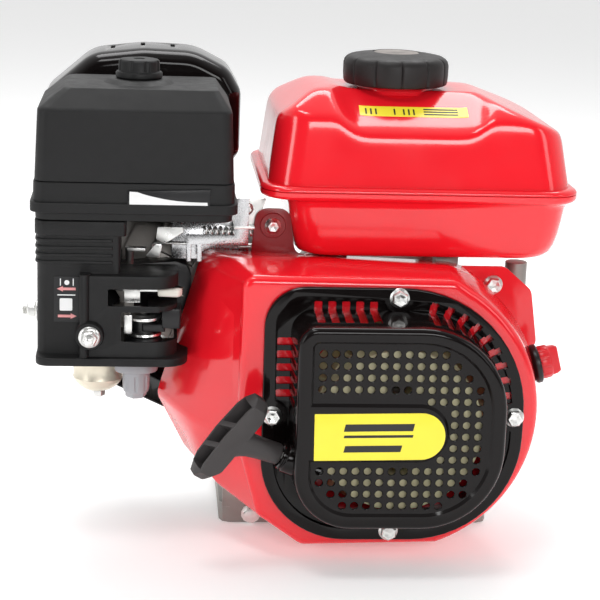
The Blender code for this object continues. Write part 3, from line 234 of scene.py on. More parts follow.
def make_materials():
    red = Surface("red_enamel", (0.84, 0.010, 0.020), 0.17, specular=0.5, coat=0.4)
    red.vary_colour(9, 0.05).vary_roughness(35, 0.03).bump(28, 0.00025, 1.0, strength=0.5)
    # The same red enamel, darkened: painted shade for the left ear, which sits in the shadow under the tank.
    red_painted_shade = Surface("red_enamel_painted_shade", (0.22, 0.004, 0.007), 0.3, specular=0.4, coat=0.1)
    red_painted_shade.vary_colour(9, 0.08).vary_roughness(35, 0.05).bump(28, 0.00025, 1.0, strength=0.5)
    black = Surface("black_enamel", (0.005, 0.0035, 0.0035), 0.13, specular=0.16, coat=0.12)
    black.vary_roughness(40, 0.04).bump(60, 0.0001, 1.0, strength=0.5)
    plastic = Surface("black_grained_plastic", (0.0085, 0.0085, 0.0088), 0.5, specular=0.28)
    plastic.vary_colour(14, 0.06).vary_roughness(120, 0.06)
    plastic.wear_edges((0.045, 0.045, 0.046), 0.0006, 0.4).bump(2600, 0.00006, 2.0)
    smooth = Surface("black_smooth_plastic", (0.010, 0.010, 0.011), 0.32, specular=0.36)
    smooth.vary_roughness(90, 0.05).bump(1500, 0.00003, 2.0)
    handle = Surface("grip_plastic", (0.045, 0.040, 0.040), 0.5, specular=0.4)
    handle.vary_colour(40, 0.05).vary_roughness(120, 0.06)
    handle.wear_edges((0.10, 0.095, 0.095), 0.0006, 0.5).bump(1800, 0.00004, 2.0)
    cap = Surface("cap_plastic", (0.0105, 0.0085, 0.0085), 0.5, specular=0.35)
    cap.vary_roughness(120, 0.06).wear_edges((0.05, 0.047, 0.047), 0.0006, 0.4).bump(2000, 0.00005, 2.0)
    zinc = Surface("zinc_plate", (0.78, 0.78, 0.76), 0.32, 1.0)
    zinc.vary_colour(60, 0.10).vary_roughness(160, 0.07).bump(900, 0.00003)
    steel = Surface("machined_steel", (0.56, 0.56, 0.57), 0.26, 1.0)
    steel.vary_roughness(20, 0.08, stretch=(40, 1, 40)).bump(700, 0.00003, stretch=(1, 12, 1))
    cast = Surface("cast_aluminium", (0.33, 0.31, 0.29), 0.5, 0.85)
    cast.vary_colour(25, 0.12).vary_roughness(80, 0.08)
    cast.wear_edges((0.66, 0.65, 0.63), 0.0008, 0.6).bump(900, 0.00016, 4.0)
    iron = Surface("cast_iron", (0.09, 0.09, 0.09), 0.62, 0.7)
    iron.vary_colour(30, 0.2).bump(800, 0.0002, 4.0)
    bowl = Surface("bowl_metal", (0.76, 0.70, 0.57), 0.36, 0.75)
    bowl.vary_colour(40, 0.06).vary_roughness(100, 0.06).bump(600, 0.00004)
    cup = Surface("grey_cup_plastic", (0.36, 0.36, 0.38), 0.5, 0.1)
    cup.vary_colour(50, 0.06).bump(1200, 0.00006)
    fan = Surface("fan_plastic", (0.80, 0.74, 0.44), 0.55)
    fan.vary_colour(30, 0.10).bump(900, 0.00008)
    reel = Surface("reel_plastic", (0.62, 0.57, 0.36), 0.5)
    reel.vary_colour(30, 0.12).bump(900, 0.00008)
    white = Surface("ivory_plastic", (0.80, 0.77, 0.69), 0.34)
    white.vary_colour(60, 0.04).bump(900, 0.00004)
    ceramic = Surface("plug_ceramic", (0.86, 0.85, 0.82), 0.2, coat=0.4)
    ceramic.vary_colour(60, 0.03).bump(300, 0.00003)
    knob = Surface("red_knob_plastic", (0.66, 0.010, 0.018), 0.32)
    knob.vary_colour(60, 0.06).bump(1200, 0.00004)
    yellow = Surface("yellow_label_film", (0.93, 0.78, 0.04), 0.34, coat=0.2)
    yellow.vary_colour(40, 0.03).bump(200, 0.00002)
    silver = Surface("silver_label_film", (0.80, 0.80, 0.80), 0.30, 0.25)
    silver.vary_colour(30, 0.04).bump(300, 0.00002)
    ink = Surface("label_ink", (0.010, 0.010, 0.010), 0.40)
    ink.vary_colour(80, 0.1).bump(400, 0.00002)
    ink_red = Surface("label_red_ink", (0.62, 0.03, 0.04), 0.4)
    ink_red.vary_colour(80, 0.06).bump(400, 0.00002)
    ink_white = Surface("label_white_ink", (0.85, 0.85, 0.85), 0.4)
    ink_white.vary_colour(80, 0.04).bump(400, 0.00002)
    worn = Surface("worn_plastic", (0.24, 0.215, 0.20), 0.7)
    worn.vary_colour(70, 0.35, 5.0).bump(900, 0.0001)
    ink_pink = Surface("label_pink_ink", (0.75, 0.30, 0.30), 0.4)
    ink_pink.vary_colour(80, 0.06).bump(400, 0.00002)
    soot = Surface("heat_paint", (0.016, 0.015, 0.015), 0.30, 0.2, coat=0.15)
    soot.vary_roughness(60, 0.10).bump(300, 0.00008)
    foam = Surface("filter_foam", (0.10, 0.10, 0.10), 0.95)
    foam.vary_colour(300, 0.3).bump(700, 0.0008)
    rope = Surface("starter_rope", (0.55, 0.55, 0.53), 0.85)
    rope.vary_colour(900, 0.3, stretch=(1, 1, 3)).bump(1200, 0.0004)
    return {
        "red": red, "black": black, "plastic": plastic, "smooth": smooth, "zinc": zinc, "steel": steel,
        "cast": cast, "iron": iron, "bowl": bowl, "cup": cup, "fan": fan, "reel": reel, "white": white,
        "ceramic": ceramic, "knob": knob, "yellow": yellow, "silver": silver, "ink": ink,
        "ink_red": ink_red, "ink_white": ink_white, "soot": soot, "foam": foam, "rope": rope, "worn": worn,
        "ink_pink": ink_pink, "handle": handle, "cap": cap, "red_painted_shade": red_painted_shade,
    }


# ------------------------------------------------------------------ shape tools
def mesh_object(bm):
    """A linked object from a bmesh in millimetres, facing out."""
    bmesh.ops.recalc_face_normals(bm, faces=bm.faces)
    if bm.calc_volume(signed=True) < 0:
        bmesh.ops.reverse_faces(bm, faces=bm.faces)
    bmesh.ops.scale(bm, vec=(MM, MM, MM), verts=bm.verts)
    mesh = bpy.data.meshes.new("shape")
    bm.to_mesh(mesh)
    bm.free()
    obj = bpy.data.objects.new("shape", mesh)
    bpy.context.scene.collection.objects.link(obj)
    return obj


def loft(rings, closed_ends=True):
    bm = bmesh.new()
    loops = [[bm.verts.new(point) for point in ring] for ring in rings]
    count = len(loops[0])
    for low, high in zip(loops, loops[1:]):
        for i in range(count):
            j = (i + 1) % count
            bm.faces.new((low[i], low[j], high[j], high[i]))
    if closed_ends:
        bm.faces.new(loops[0])
        bm.faces.new(loops[-1])
    return mesh_object(bm)


def rounded(corners, steps=8):
    """Points of a polygon whose corners (u, v, radius) are rounded with arcs."""
    points = []
    count = len(corners)
    for i, (u, v, radius) in enumerate(corners):
        here = Vector((u, v))
        if radius == 0:
            points.append((u, v))
            continue
        before = (Vector(corners[i - 1][:2]) - here).normalized()
        after = (Vector(corners[(i + 1) % count][:2]) - here).normalized()
        half = before.angle(after) / 2
        centre = here + (before + after).normalized() * radius / math.sin(half)
        start = here + before * radius / math.tan(half) - centre
        end = here + after * radius / math.tan(half) - centre
        turn = start.angle_signed(end)
        for k in range(steps + 1):
            spoke = start.copy()
            spoke.rotate(Matrix.Rotation(-turn * k / steps, 2))
            points.append(tuple(centre + spoke))
    return points


def inset(points, depth):
    """The polygon moved inwards by depth."""
    area = sum(points[i - 1][0] * p[1] - p[0] * points[i - 1][1] for i, p in enumerate(points))
    side = 1.0 if area > 0 else -1.0
    moved = []
    for i, p in enumerate(points):
        here = Vector(p)
        one = (here - Vector(points[i - 1])).normalized()
        two = (Vector(points[(i + 1) % len(points)]) - here).normalized()
        normal = Vector((-one.y - two.y, one.x + two.x)).normalized()
        stretch = max(0.5, normal.dot(Vector((-one.y, one.x))))
        moved.append(tuple(here + normal * side * depth / stretch))
    return moved


def placed(points, axis, at):
    if axis == "Y":
        return [(u, at, v) for u, v in points]
    if axis == "Z":
        return [(u, v, at) for u, v in points]
    return [(at, u, v) for u, v in points]


def prism(points, axis, low, high):
    return loft([placed(points, axis, low), placed(points, axis, high)])


def box(x0, x1, y0, y1, z0, z1):
    return prism([(x0, z0), (x1, z0), (x1, z1), (x0, z1)], "Y", y0, y1)


def arc(centre, radius, start, end, count=16):
    return [
        (centre[0] + radius * math.cos(start + (end - start) * k / count),
         centre[1] + radius * math.sin(start + (end - start) * k / count))
        for k in range(count + 1)
    ]


def circle(centre, radius, steps=48):
    return arc(centre, radius, 0, math.tau, steps)[:-1]


def turned(profile, base, axis, steps=64, turn=0.0):
    """A solid of revolution. The profile (radius, height) runs from axis to axis, or closes."""
    axis = Vector(axis).normalized()
    side = axis.orthogonal().normalized()
    other = axis.cross(side)
    base = Vector(base)
    bm = bmesh.new()
    rings = []
    for radius, height in profile:
        centre = base + axis * height
        if radius == 0:
            rings.append([bm.verts.new(centre)])
            continue
        angles = [turn + math.tau * k / steps for k in range(steps)]
        rings.append([bm.verts.new(centre + (side * math.cos(a) + other * math.sin(a)) * radius)
                      for a in angles])
    pairs = list(zip(rings, rings[1:]))
    if len(rings[0]) > 1 and len(rings[-1]) > 1:
        pairs.append((rings[-1], rings[0]))
    for low, high in pairs:
        for k in range(steps):
            n = (k + 1) % steps
            corners = [low[k % len(low)], low[n % len(low)], high[n % len(high)], high[k % len(high)]]
            bm.faces.new(list(dict.fromkeys(corners)))
    return mesh_object(bm)


def rod(start, end, radius, steps=32):
    start, end = Vector(start), Vector(end)
    length = (end - start).length
    return turned([(0, 0), (radius, 0), (radius, length), (0, length)], start, end - start, steps)


def tube(points, radius, sides=10, closed_ends=True):
    """A round wire along a path, its rings kept from twisting."""
    points = [Vector(p) for p in points]
    rings = []
    side = None
    for i, point in enumerate(points):
        run = (points[min(i + 1, len(points) - 1)] - points[max(i - 1, 0)]).normalized()
        side = run.orthogonal().normalized() if side is None else (side - run * side.dot(run)).normalized()
        other = run.cross(side)
        rings.append([
            point + (side * math.cos(a) + other * math.sin(a)) * radius
            for a in (math.tau * k / sides for k in range(sides))
        ])
    return loft(rings, closed_ends)


def apply_modifiers(obj):
    bpy.context.view_layer.update()
    graph = bpy.context.evaluated_depsgraph_get()
    mesh = bpy.data.meshes.new_from_object(obj.evaluated_get(graph))
    obj.modifiers.clear()
    obj.data = mesh
    return obj


def combine(target, tools, operation):
    for tool in tools:
        modifier = target.modifiers.new("shape", "BOOLEAN")
        modifier.operation = operation
        modifier.solver = "EXACT"
        modifier.object = tool
    apply_modifiers(target)
    for tool in tools:
        bpy.data.objects.remove(tool, do_unlink=True)
    return target


def join(target, *tools):
    return combine(target, tools, "UNION")


def cut(target, *tools):
    return combine(target, tools, "DIFFERENCE")


def gather(*objs):
    """Several meshes as one mesh, as for many small holes in one Boolean."""
    bm = bmesh.new()
    for obj in objs:
        bm.from_mesh(obj.data)
    mesh = bpy.data.meshes.new("shape")
    bm.to_mesh(mesh)
    bm.free()
    for obj in objs[1:]:
        bpy.data.objects.remove(obj, do_unlink=True)
    objs[0].data = mesh
    return objs[0]


def bevel(obj, width, segments=2, angle=35.0):
    modifier = obj.modifiers.new("bevel", "BEVEL")
    modifier.width = width * MM
    modifier.segments = segments
    modifier.limit_method = "ANGLE"
    modifier.angle_limit = math.radians(angle)
    modifier.harden_normals = False
    return apply_modifiers(obj)


def piece(name, obj, look, body="root", stands_for=(), sharp=38.0):
    """Names a finished shape, gives it its material, and ties it to the frame."""
    obj.name = name
    obj.data.name = name
    obj.data.materials.clear()
    obj.data.materials.append(LOOKS[look].material)
    obj.data.shade_smooth()
    obj.data.set_sharp_from_angle(angle=math.radians(sharp))
    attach(obj, body)
    if stands_for:
        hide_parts(*stands_for)
    return obj


LOOKS = make_materials()


# ------------------------------------------------------------------ shapes given by a formula
def star_solid(depth_inside, centre, rows):
    """A closed solid seen whole from a point of its flat bottom.

    depth_inside(x, y, z) is negative inside. rows are rings of aim points, from the bottom ring up;
    each point is slid along its ray from the centre until it lies on the surface."""
    centre = np.array(centre, float)
    aims = np.array(rows, float) - centre
    low = np.zeros(aims.shape[:2])
    high = np.full(aims.shape[:2], 1.6)
    for _ in range(26):
        middle = (low + high) / 2
        at = centre + aims * middle[..., None]
        inside = depth_inside(at[..., 0], at[..., 1], at[..., 2]) < 0
        low = np.where(inside, middle, low)
        high = np.where(inside, high, middle)
    points = centre + aims * low[..., None]
    return loft([[tuple(p) for p in ring] for ring in points])


def soft_max(softness, *depths):
    """The largest depth, its meeting edges rounded over about the softness."""
    stack = np.stack(np.broadcast_arrays(*depths))
    top = stack.max(axis=0)
    return top + softness * np.log(np.exp((stack - top) / softness).sum(axis=0))


def rectangle_depth(x, y, x0, x1, y0, y1, radius):
    """Distance outside a rectangle with rounded corners; the limits and the radius may vary by point."""
    across = np.abs(x - (x0 + x1) / 2) - ((x1 - x0) / 2 - radius)
    along = np.abs(y - (y0 + y1) / 2) - ((y1 - y0) / 2 - radius)
    outside = np.hypot(np.maximum(across, 0), np.maximum(along, 0))
    return outside + np.minimum(np.maximum(across, along), 0) - radius


def dome_rows(outline, low, high, wall_rows, roof_rows, centre):
    """Aim points: rings up a wall from low to high, then rings drawing in to the centre over the roof."""
    rows = []
    for k in range(wall_rows):
        z = low + (high - low) * k / wall_rows
        rows.append([(x, y, z) for x, y in outline])
    for k in range(roof_rows):
        share = 1 - (k / roof_rows) ** 1.1 * 0.995
        rows.append([(centre[0] + (x - centre[0]) * share, centre[1] + (y - centre[1]) * share, high)
                     for x, y in outline])
    return rows


def stack(outlines, heights, base, axis, turn=0.0):
    """A loft of flat outlines set square to an axis, at the given heights along it."""
    axis = Vector(axis).normalized()
    side = axis.orthogonal().normalized()
    side.rotate(Matrix.Rotation(turn, 3, axis))
    other = axis.cross(side)
    base = Vector(base)
    return loft([
        [base + side * u + other * v + axis * height for u, v in outline]
        for outline, height in zip(outlines, heights)
    ])


# ------------------------------------------------------------------ fasteners
def hexagon(across, corner=0.6):
    reach = across / math.sqrt(3)
    return rounded([(reach * math.cos(math.tau * k / 6), reach * math.sin(math.tau * k / 6), corner)
                    for k in range(6)], 3)


def flange_bolt(name, head, axis, across=10.0, height=6.0, flange=7.2, node=None, turn=0.2, look="zinc",
                body="root"):
    """A hexagon flange bolt: sloped washer face, chamfered hexagon and a shallow dished top."""
    outline = hexagon(across)
    hexagon_rings = [outline, outline, inset(outline, 0.25), inset(outline, 0.9), inset(outline, 1.5),
                     inset(outline, 3.4)]
    heights = [0.6, height - 1.1, height - 0.55, height - 0.05, height - 0.1, height - 0.8]
    bolt = stack(hexagon_rings, heights, head, axis, turn)
    washer = turned([(0, -3), (3, -3), (3, 0), (flange, 0), (flange, 0.7), (flange - 0.4, 1.1),
                     (across / 2, 2.0), (0, 2.0)],
                    head, axis, 40)
    made = bevel(join(washer, bolt), 0.14, 2)
    return piece(name, made, look, body, stands_for=(node,) if node else ())


# ------------------------------------------------------------------ CAD nodes with softened edges
def softened(node, look, body="root", width=0.5, name=None, segments=2):
    """A copy of a CAD node whose edges are rounded, for a part whose plain shape is right."""
    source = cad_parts[node]
    obj = bpy.data.objects.new("shape", source.data.copy())
    obj.matrix_world = source.matrix_world
    bpy.context.scene.collection.objects.link(obj)
    bm = bmesh.new()
    bm.from_mesh(obj.data)
    bmesh.ops.remove_doubles(bm, verts=bm.verts, dist=1e-6)
    bmesh.ops.dissolve_limit(bm, angle_limit=math.radians(0.6), verts=bm.verts, edges=bm.edges)
    bm.to_mesh(obj.data)
    bm.free()
    bevel(obj, width, segments, 32)
    return piece(name or node + "_skin", obj, look, body, stands_for=(node,))


# ------------------------------------------------------------------ starter side
RECOIL_FLANGE = rounded([(-90, 196, 28), (90, 196, 88), (90, 16, 75), (-90, 16, 60)], 14)
RECOIL_FACE = rounded([(-69, 177, 12), (70, 177, 58), (70, 39, 54), (-69, 39, 38)], 14)
RECESS = rounded([(-61, 169, 5), (62, 169, 50), (62, 47.5, 45), (-61, 47.5, 30)], 14)
PLATEAU = rounded([(-75, 124, 0), (30, 124, 18), (30, 88, 17.9), (-75, 88, 0)], 10)
FLANGE_FRONT, TROUGH_FLOOR, FACE_FRONT = -122.6, -119.6, -160.0
RECESS_FLOOR = FACE_FRONT + 2.2
RECOIL_BOLTS = [(83.2 * math.cos(a), 106 + 83.2 * math.sin(a)) for a in (math.pi / 2 * k for k in range(4))]
GUIDE_END = Vector((-78, -139, 83.9))
PULL = Vector((-0.916, 0, 0.401)).normalized()


def inside(point, outline):
    """Whether a flat point lies within a closed outline."""
    crossings = 0
    for a, b in zip(outline, outline[1:] + outline[:1]):
        if (a[1] > point[1]) != (b[1] > point[1]):
            crossings += point[0] < a[0] + (point[1] - a[1]) / (b[1] - a[1]) * (b[0] - a[0])
    return crossings % 2 == 1


def hole_places():
    """Centres of the round air holes: a square grid that fills the recess round the label plateau."""
    pitch, room, start = 8.1, inset(RECESS, 4.3), (-53.4, 160.1)
    kept_clear = inset(PLATEAU, -4.8)
    centres = [(start[0] + pitch * c, start[1] - pitch * r) for r in range(15) for c in range(15)]
    return [p for p in centres if inside(p, room) and not inside(p, kept_clear)]


def slot_cutters():
    """Air slots along the top, round the upper corner and down the left of the drum wall."""
    slots = []
    for k in range(5):
        x = -54.3 + 9.4 * k
        slots.append(prism(rounded([(x - 2.7, 166, 1), (x + 2.7, 166, 1), (x + 2.7, 186, 1),
                                    (x - 2.7, 186, 1)], 3),
                           "Y", -147, -117))
    for k in range(9):
        angle = math.radians(79.3 - 9.75 * k)
        out = Vector((math.cos(angle), math.sin(angle)))
        side = Vector((-out.y, out.x)) * 2.5
        centre = Vector((12, 119))
        corners = [centre + out * 52 + side, centre + out * 52 - side, centre + out * 68.5 - side,
                   centre + out * 68.5 + side]
        slots.append(prism([tuple(c) for c in corners], "Y", -147, -117))
    for k in range(5):
        z = 157.7 - 9.1 * k
        slots.append(prism(rounded([(-81, z - 2.7, 1), (-60, z - 2.7, 1), (-60, z + 2.7, 1),
                                    (-81, z + 2.7, 1)], 3),
                           "Y", -147, -117))
    return slots


def drum_rings(shrink, front, back):
    """Rings of the raised drum, from the back to its rounded front edge, drawn in by shrink."""
    rings = [placed(inset(RECOIL_FACE, shrink - 3), "Y", back),
             placed(inset(RECOIL_FACE, shrink - 2), "Y", -140)]
    radius = 4.0
    for k in range(6):
        turn = math.radians(18 * k)
        depth = shrink - 0.8 + radius * (1 - math.cos(turn))
        rings.append(placed(inset(RECOIL_FACE, depth), "Y", front + radius * (1 - math.sin(turn))))
    return rings


def make_recoil_cover():
    plate = prism(RECOIL_FLANGE, "Y", FLANGE_FRONT, -118.35)
    bevel(plate, 1.3, 3)
    trough = prism(inset(RECOIL_FLANGE, 8.5), "Y", -130, TROUGH_FLOOR)
    lobes = [prism(circle(p, 10.5, 32), "Y", -131, -118) for p in RECOIL_BOLTS]
    cut(trough, *lobes)
    bevel(cut(plate, trough), 0.8, 2, 50)
    cover = join(plate, loft(drum_rings(0, FACE_FRONT, -118.6)))
    cut(cover, loft(drum_rings(1.6, FACE_FRONT + 3.6, -117)))
    recess = loft([placed(RECESS, "Y", FACE_FRONT - 0.1), placed(inset(RECESS, 1.8), "Y", RECESS_FLOOR)])
    keep = loft([placed(inset(PLATEAU, -3.2), "Y", RECESS_FLOOR + 1),
                 placed(inset(PLATEAU, 0.4), "Y", FACE_FRONT - 1)])
    cut(cover, cut(recess, keep))
    bevel(cover, 0.7, 3, 28)
    holes = [prism(circle(p, 2.6, 16), "Y", -165, -150) for p in hole_places()]
    flare = [loft([placed(circle(p, 3.0, 16), "Y", RECESS_FLOOR - 0.05),
                   placed(circle(p, 2.5, 16), "Y", RECESS_FLOOR + 0.5)])
             for p in hole_places()]
    cut(cover, gather(*holes))
    cut(cover, gather(*flare))
    cut(cover, *slot_cutters())
    start = GUIDE_END - PULL * 24
    guide = turned([(8, 0), (9.4, 0), (9.4, 12), (10.2, 12.6), (10.4, 13.4), (10.4, 20), (10.0, 20.8),
                    (9.2, 21.2), (9.2, 22), (9.7, 22.6), (9.6, 23.6), (8.6, 24), (7, 23.4), (6, 21),
                    (5, 18), (4.6, 10), (4.6, 0)],
                   start, PULL, 48)
    collar = turned([(8, -3), (13.0, -3), (11.8, 3), (10.6, 7), (9.4, 8.2), (8, 8.2)], start, PULL, 48)
    piece("recoil_housing", cover, "black", stands_for=("recoil_cover",), sharp=32)
    piece("rope_guide", gather(guide, collar), "black")


def make_label():
    """A plain coloured plate with a rounded end, carrying a simple flag of bars and no lettering."""
    tilt = math.radians(0.9)
    centre = Vector((-14.4, 104.2))

    def turned_flat(points):
        return [(centre.x + u * math.cos(tilt) - v * math.sin(tilt),
                 centre.y + u * math.sin(tilt) + v * math.cos(tilt))
                for u, v in points]

    plate = rounded([(-43.4, 16.2, 0.4), (43.8, 16.2, 16), (43.8, -16.2, 16), (-43.4, -16.2, 0.4)], 16)
    label = prism(turned_flat(plate), "Y", FACE_FRONT - 0.35, FACE_FRONT + 0.2)
    piece("plate_film", bevel(label, 0.12, 2), "yellow")
    bars = [
        prism(turned_flat([(x0, z0), (x1, z0), (x1 + lean, z1), (x0 + lean, z1)]), "Y", FACE_FRONT - 0.5,
              FACE_FRONT - 0.2)
        for x0, x1, z0, z1, lean in (
            (-24, 22, 4, 9, 1.2), (-24, 22, -0.5, 1.3, 0.4), (-24, 14, -10.5, -6, 1.2))
    ]
    piece("plate_bars", gather(*bars), "ink")


def make_fan_and_reel():
    """Blades and drum seen through the air holes."""
    softened("cooling_fan", "fan", "crank", 0.4)
    softened("starter_cup", "zinc", "crank", 0.6)
    softened("starter_reel", "reel", "reel", 0.5)


def make_grip():
    """The T-shaped pull grip: a bar with three open pockets on its outer face, on a filleted stem."""
    along = Vector((0.611, 0, 0.792))
    lean = math.radians(24)
    lift = Vector((-0.792 * math.cos(lean), -math.sin(lean), 0.611 * math.cos(lean)))
    across = lift.cross(along).normalized()
    if across.y > 0:
        across = -across
    centre = Vector((-112.4, -146.0, 98.3))

    def at(a, u, v):
        return centre + along * a + across * u + lift * v

    half = 7.8
    rings = []
    for u, drawn, sunk in ((half, 6.0, 0.8), (half - 1.4, 4.6, 0.2), (half - 4.6, 0.4, 0),
                           (4.6 - half, 0.4, 0), (1.4 - half, 4.6, 0.2), (-half, 6.0, 0.8)):
        end = 34.4 - drawn
        outline = rounded([(-end, 6.2, 1.2), (-end, -2.5, 4.5), (6.5 - end, sunk - 8.2, 5),
                           (end - 5.5, sunk - 8.0, 5), (end, -3.5, 4.5), (end, 6.2, 1.2), (end - 7, 8.4, 4),
                           (0, 9.6, 30), (7 - end, 8.4, 4)], 5)
        rings.append([at(a, u, v) for a, v in outline])
    bar = loft(rings)
    foot = GUIDE_END + PULL * 1.5
    run = (at(0, 0, -3) - foot).normalized()
    reach = (at(0, 0, -1) - foot).length
    side = (along - run * along.dot(run)).normalized()
    other = run.cross(side)
    stem_rings = []
    for share, wide, deep in ((0, 6.9, 6.9), (0.02, 7.3, 7.3), (0.4, 7.6, 7.4), (0.6, 8.3, 7.5),
                              (0.72, 9.6, 7.5), (0.82, 11.6, 7.5), (0.9, 14.4, 7.4), (0.97, 18.5, 7.2),
                              (1.0, 20.0, 7.0)):
        middle = foot + run * reach * share
        stem_rings.append([middle + side * wide * math.cos(t) + other * deep * math.sin(t)
                           for t in (math.tau * k / 48 for k in range(48))])
    join(bar, loft(stem_rings))
    pockets = []
    for low, high, slant in ((-27.6, -11.6, 3.4), (-8.4, 5.6, 3.4), (8.8, 27.6, 0)):
        first = 0 if low < -20 else 3.4
        mouth = [(low - first, -6.7), (high - slant, -6.7), (high + slant, 6.7), (low + first, 6.7)]
        pockets.append(loft([[at(a, u, -1.5) for a, u in inset(mouth, 0.8)],
                             [at(a, u, 14.0) for a, u in mouth]]))
    cut(bar, gather(*pockets))
    cut(bar, rod(foot - run * 2, foot + run * 20, 3.2, 24))
    bevel(bar, 0.45, 2, 40)
    piece("pull_grip", bar, "handle", "grip", stands_for=("starter_grip",), sharp=30)
    path = [GUIDE_END + PULL * t for t in (-50, -38, -26, -14, -2, 6, 12)]
    piece("pull_rope", tube(path, 2.2, 16), "rope", "grip")


# ------------------------------------------------------------------ fan cover and switch
COVER_FRONT, COVER_BACK = -118.0, -54.0


def cover_outline(share):
    """The fan cover's outline, from its front (0) to its wider back (1)."""
    corners = [((-60, 9, 10), (-60, 9, 10)), ((-89, 30, 9), (-140, 60, 9)),
               ((-103, 84, 12), (-161, 100, 12)), ((-104, 202, 9), (-130, 206, 9)),
               ((40, 201, 14), (42, 199.5, 14))]
    radius = 101 + 4 * share
    drum = arc((0, 106), radius, math.radians(60), math.radians(-70), 40)
    blend = [tuple(a + (b - a) * share for a, b in zip(front, back)) for front, back in corners]
    return rounded(blend + [(*drum[0], 0), (*drum[-1], 0)], 8)[:-2] + drum


def make_fan_cover():
    """A pressed shell: rounded front edge, flared left side with a soft crease, open at the back."""
    bulge = 3.0
    rings = [placed(cover_outline(1.0), "Y", COVER_BACK),
             placed(inset(cover_outline(0.52), -bulge), "Y", -87)]
    edge = 6.0
    for k in range(7):
        turn = math.radians(15 * k)
        y = COVER_FRONT + edge * (1 - math.sin(turn))
        rings.append(placed(inset(cover_outline(0.06), edge * (1 - math.cos(turn))), "Y", y))
    inner = [placed(inset(ring_flat, 2.0), "Y", y) for ring_flat, y in (
        (cover_outline(1.02), COVER_BACK + 4), (inset(cover_outline(0.52), -bulge), -87),
        (inset(cover_outline(0.06), 0.5), -111), (inset(cover_outline(0.06), 5), -116))]
    shell = cut(loft(rings), loft(inner), prism(circle((0, 106), 67, 96), "Y", -130, -100))
    left_ear = prism(rounded([(-98, 190, 0), (-40, 190, 0), (-42, 203.6, 2), (-66, 204, 6), (-70, 236, 9),
                              (-94, 236, 9)], 6),
                     "Y", -58.2, -56.0)
    right_ear = prism(rounded([(56, 150, 0), (103, 128, 3), (110, 142, 8), (104, 180, 9), (84, 197, 9),
                               (50, 197, 3)], 6),
                      "Y", -58.2, -56.0)
    bead = turned([(4, -0.3), (9.5, -0.3), (8.6, 1.0), (4, 1.2)], (-82, -58, 224), -AXIS_Y, 40)
    join(shell, right_ear)
    bevel(shell, 0.5, 2, 40)
    piece("blower_shell", shell, "red", stands_for=("fan_cover",), sharp=32)
    # The left ear and its bead take the darkened red: painted shade for the shadow under the tank.
    piece("blower_ear", gather(bevel(left_ear, 0.5, 2, 40), bead), "red_painted_shade", stands_for=("fan_cover",),
          sharp=32)


def make_switch():
    """The round stop switch on the right: black flange, red knob with a raised pointer."""
    out = Vector((math.cos(math.radians(15)), 0, math.sin(math.radians(15))))
    base = CRANK + Vector((0, -86, 0))
    body = turned([(0, 90), (8.2, 90), (8.2, 104), (13.4, 106), (13.8, 107), (13.8, 109.4), (13.0, 110.1),
                   (0, 110.1)], base, out, 48)
    piece("stop_switch_base", bevel(body, 0.3, 2), "smooth", stands_for=("switch_body",))
    knob = turned([(0, 110.4), (11.4, 110.4), (11.7, 112), (11.5, 116.5), (10.6, 118), (0, 118)], base, out,
                  48)
    grooves = [rod(base + out * 109 + spoke * 12.6, base + out * 120 + spoke * 12.6, 1.7, 12) for spoke in (
        (AXIS_Y * math.cos(a) + out.cross(AXIS_Y) * math.sin(a))
        for a in (math.tau * k / 12 for k in range(12)))]
    cut(knob, gather(*grooves))
    side = out.cross(AXIS_Y)
    wing = []
    for height, half_long, half_wide in ((116, 10.6, 3.4), (122, 10.2, 2.7), (124.4, 9.0, 2.2)):
        centre = base + out * height
        flat = rounded([(-half_long, -half_wide, 1.6), (half_long, -half_wide, 1.6),
                        (half_long, half_wide, 1.6), (-half_long, half_wide, 1.6)], 4)
        wing.append([centre + side * u + AXIS_Y * v for u, v in flat])
    join(knob, loft(wing))
    piece("stop_switch_knob", bevel(knob, 0.5, 2, 35), "knob", "switch", stands_for=("switch_knob",))


# ------------------------------------------------------------------ fuel tank
TANK = {"x0": -92.0, "x1": 130.5, "y0": -82.0, "y1": 83.0}


def tank_upper_depth(x, y, z):
    """Depth outside the pressed upper half: tapering walls, faceted shoulders and a valley down the front."""
    rise = z - 255
    walls = rectangle_depth(x, y, TANK["x0"] + 5.5 + 0.125 * rise, TANK["x1"] - 4.5 - 0.19 * rise,
                            TANK["y0"] + 5.5 + 0.12 * rise, TANK["y1"] - 5.5 - 0.12 * rise, 24.0)
    front_slope = (z - 302.5 - 0.80 * (y + 71)) * 0.78
    back_slope = (z - 303 + 0.42 * (y - 70)) * 0.92
    left_slope = (z - 306 - 0.75 * (x + 74)) * 0.80
    right_slope = (z - 301 + 0.42 * (x - 100)) * 0.92
    roof = z - 319.5
    gentle = 3.6
    valley_floor = np.minimum(292.5 + 0.56 * (y + 72), 317.0)
    off_centre = np.abs(x - 13.5) - 43 - 0.10 * (y + 72)
    bank = gentle * np.log1p(np.exp(np.clip(off_centre / gentle, -40, 40)))
    valley = (z - valley_floor - 1.15 * bank) * 0.8
    return soft_max(1.9, walls, front_slope, back_slope, left_slope, right_slope, roof, valley)


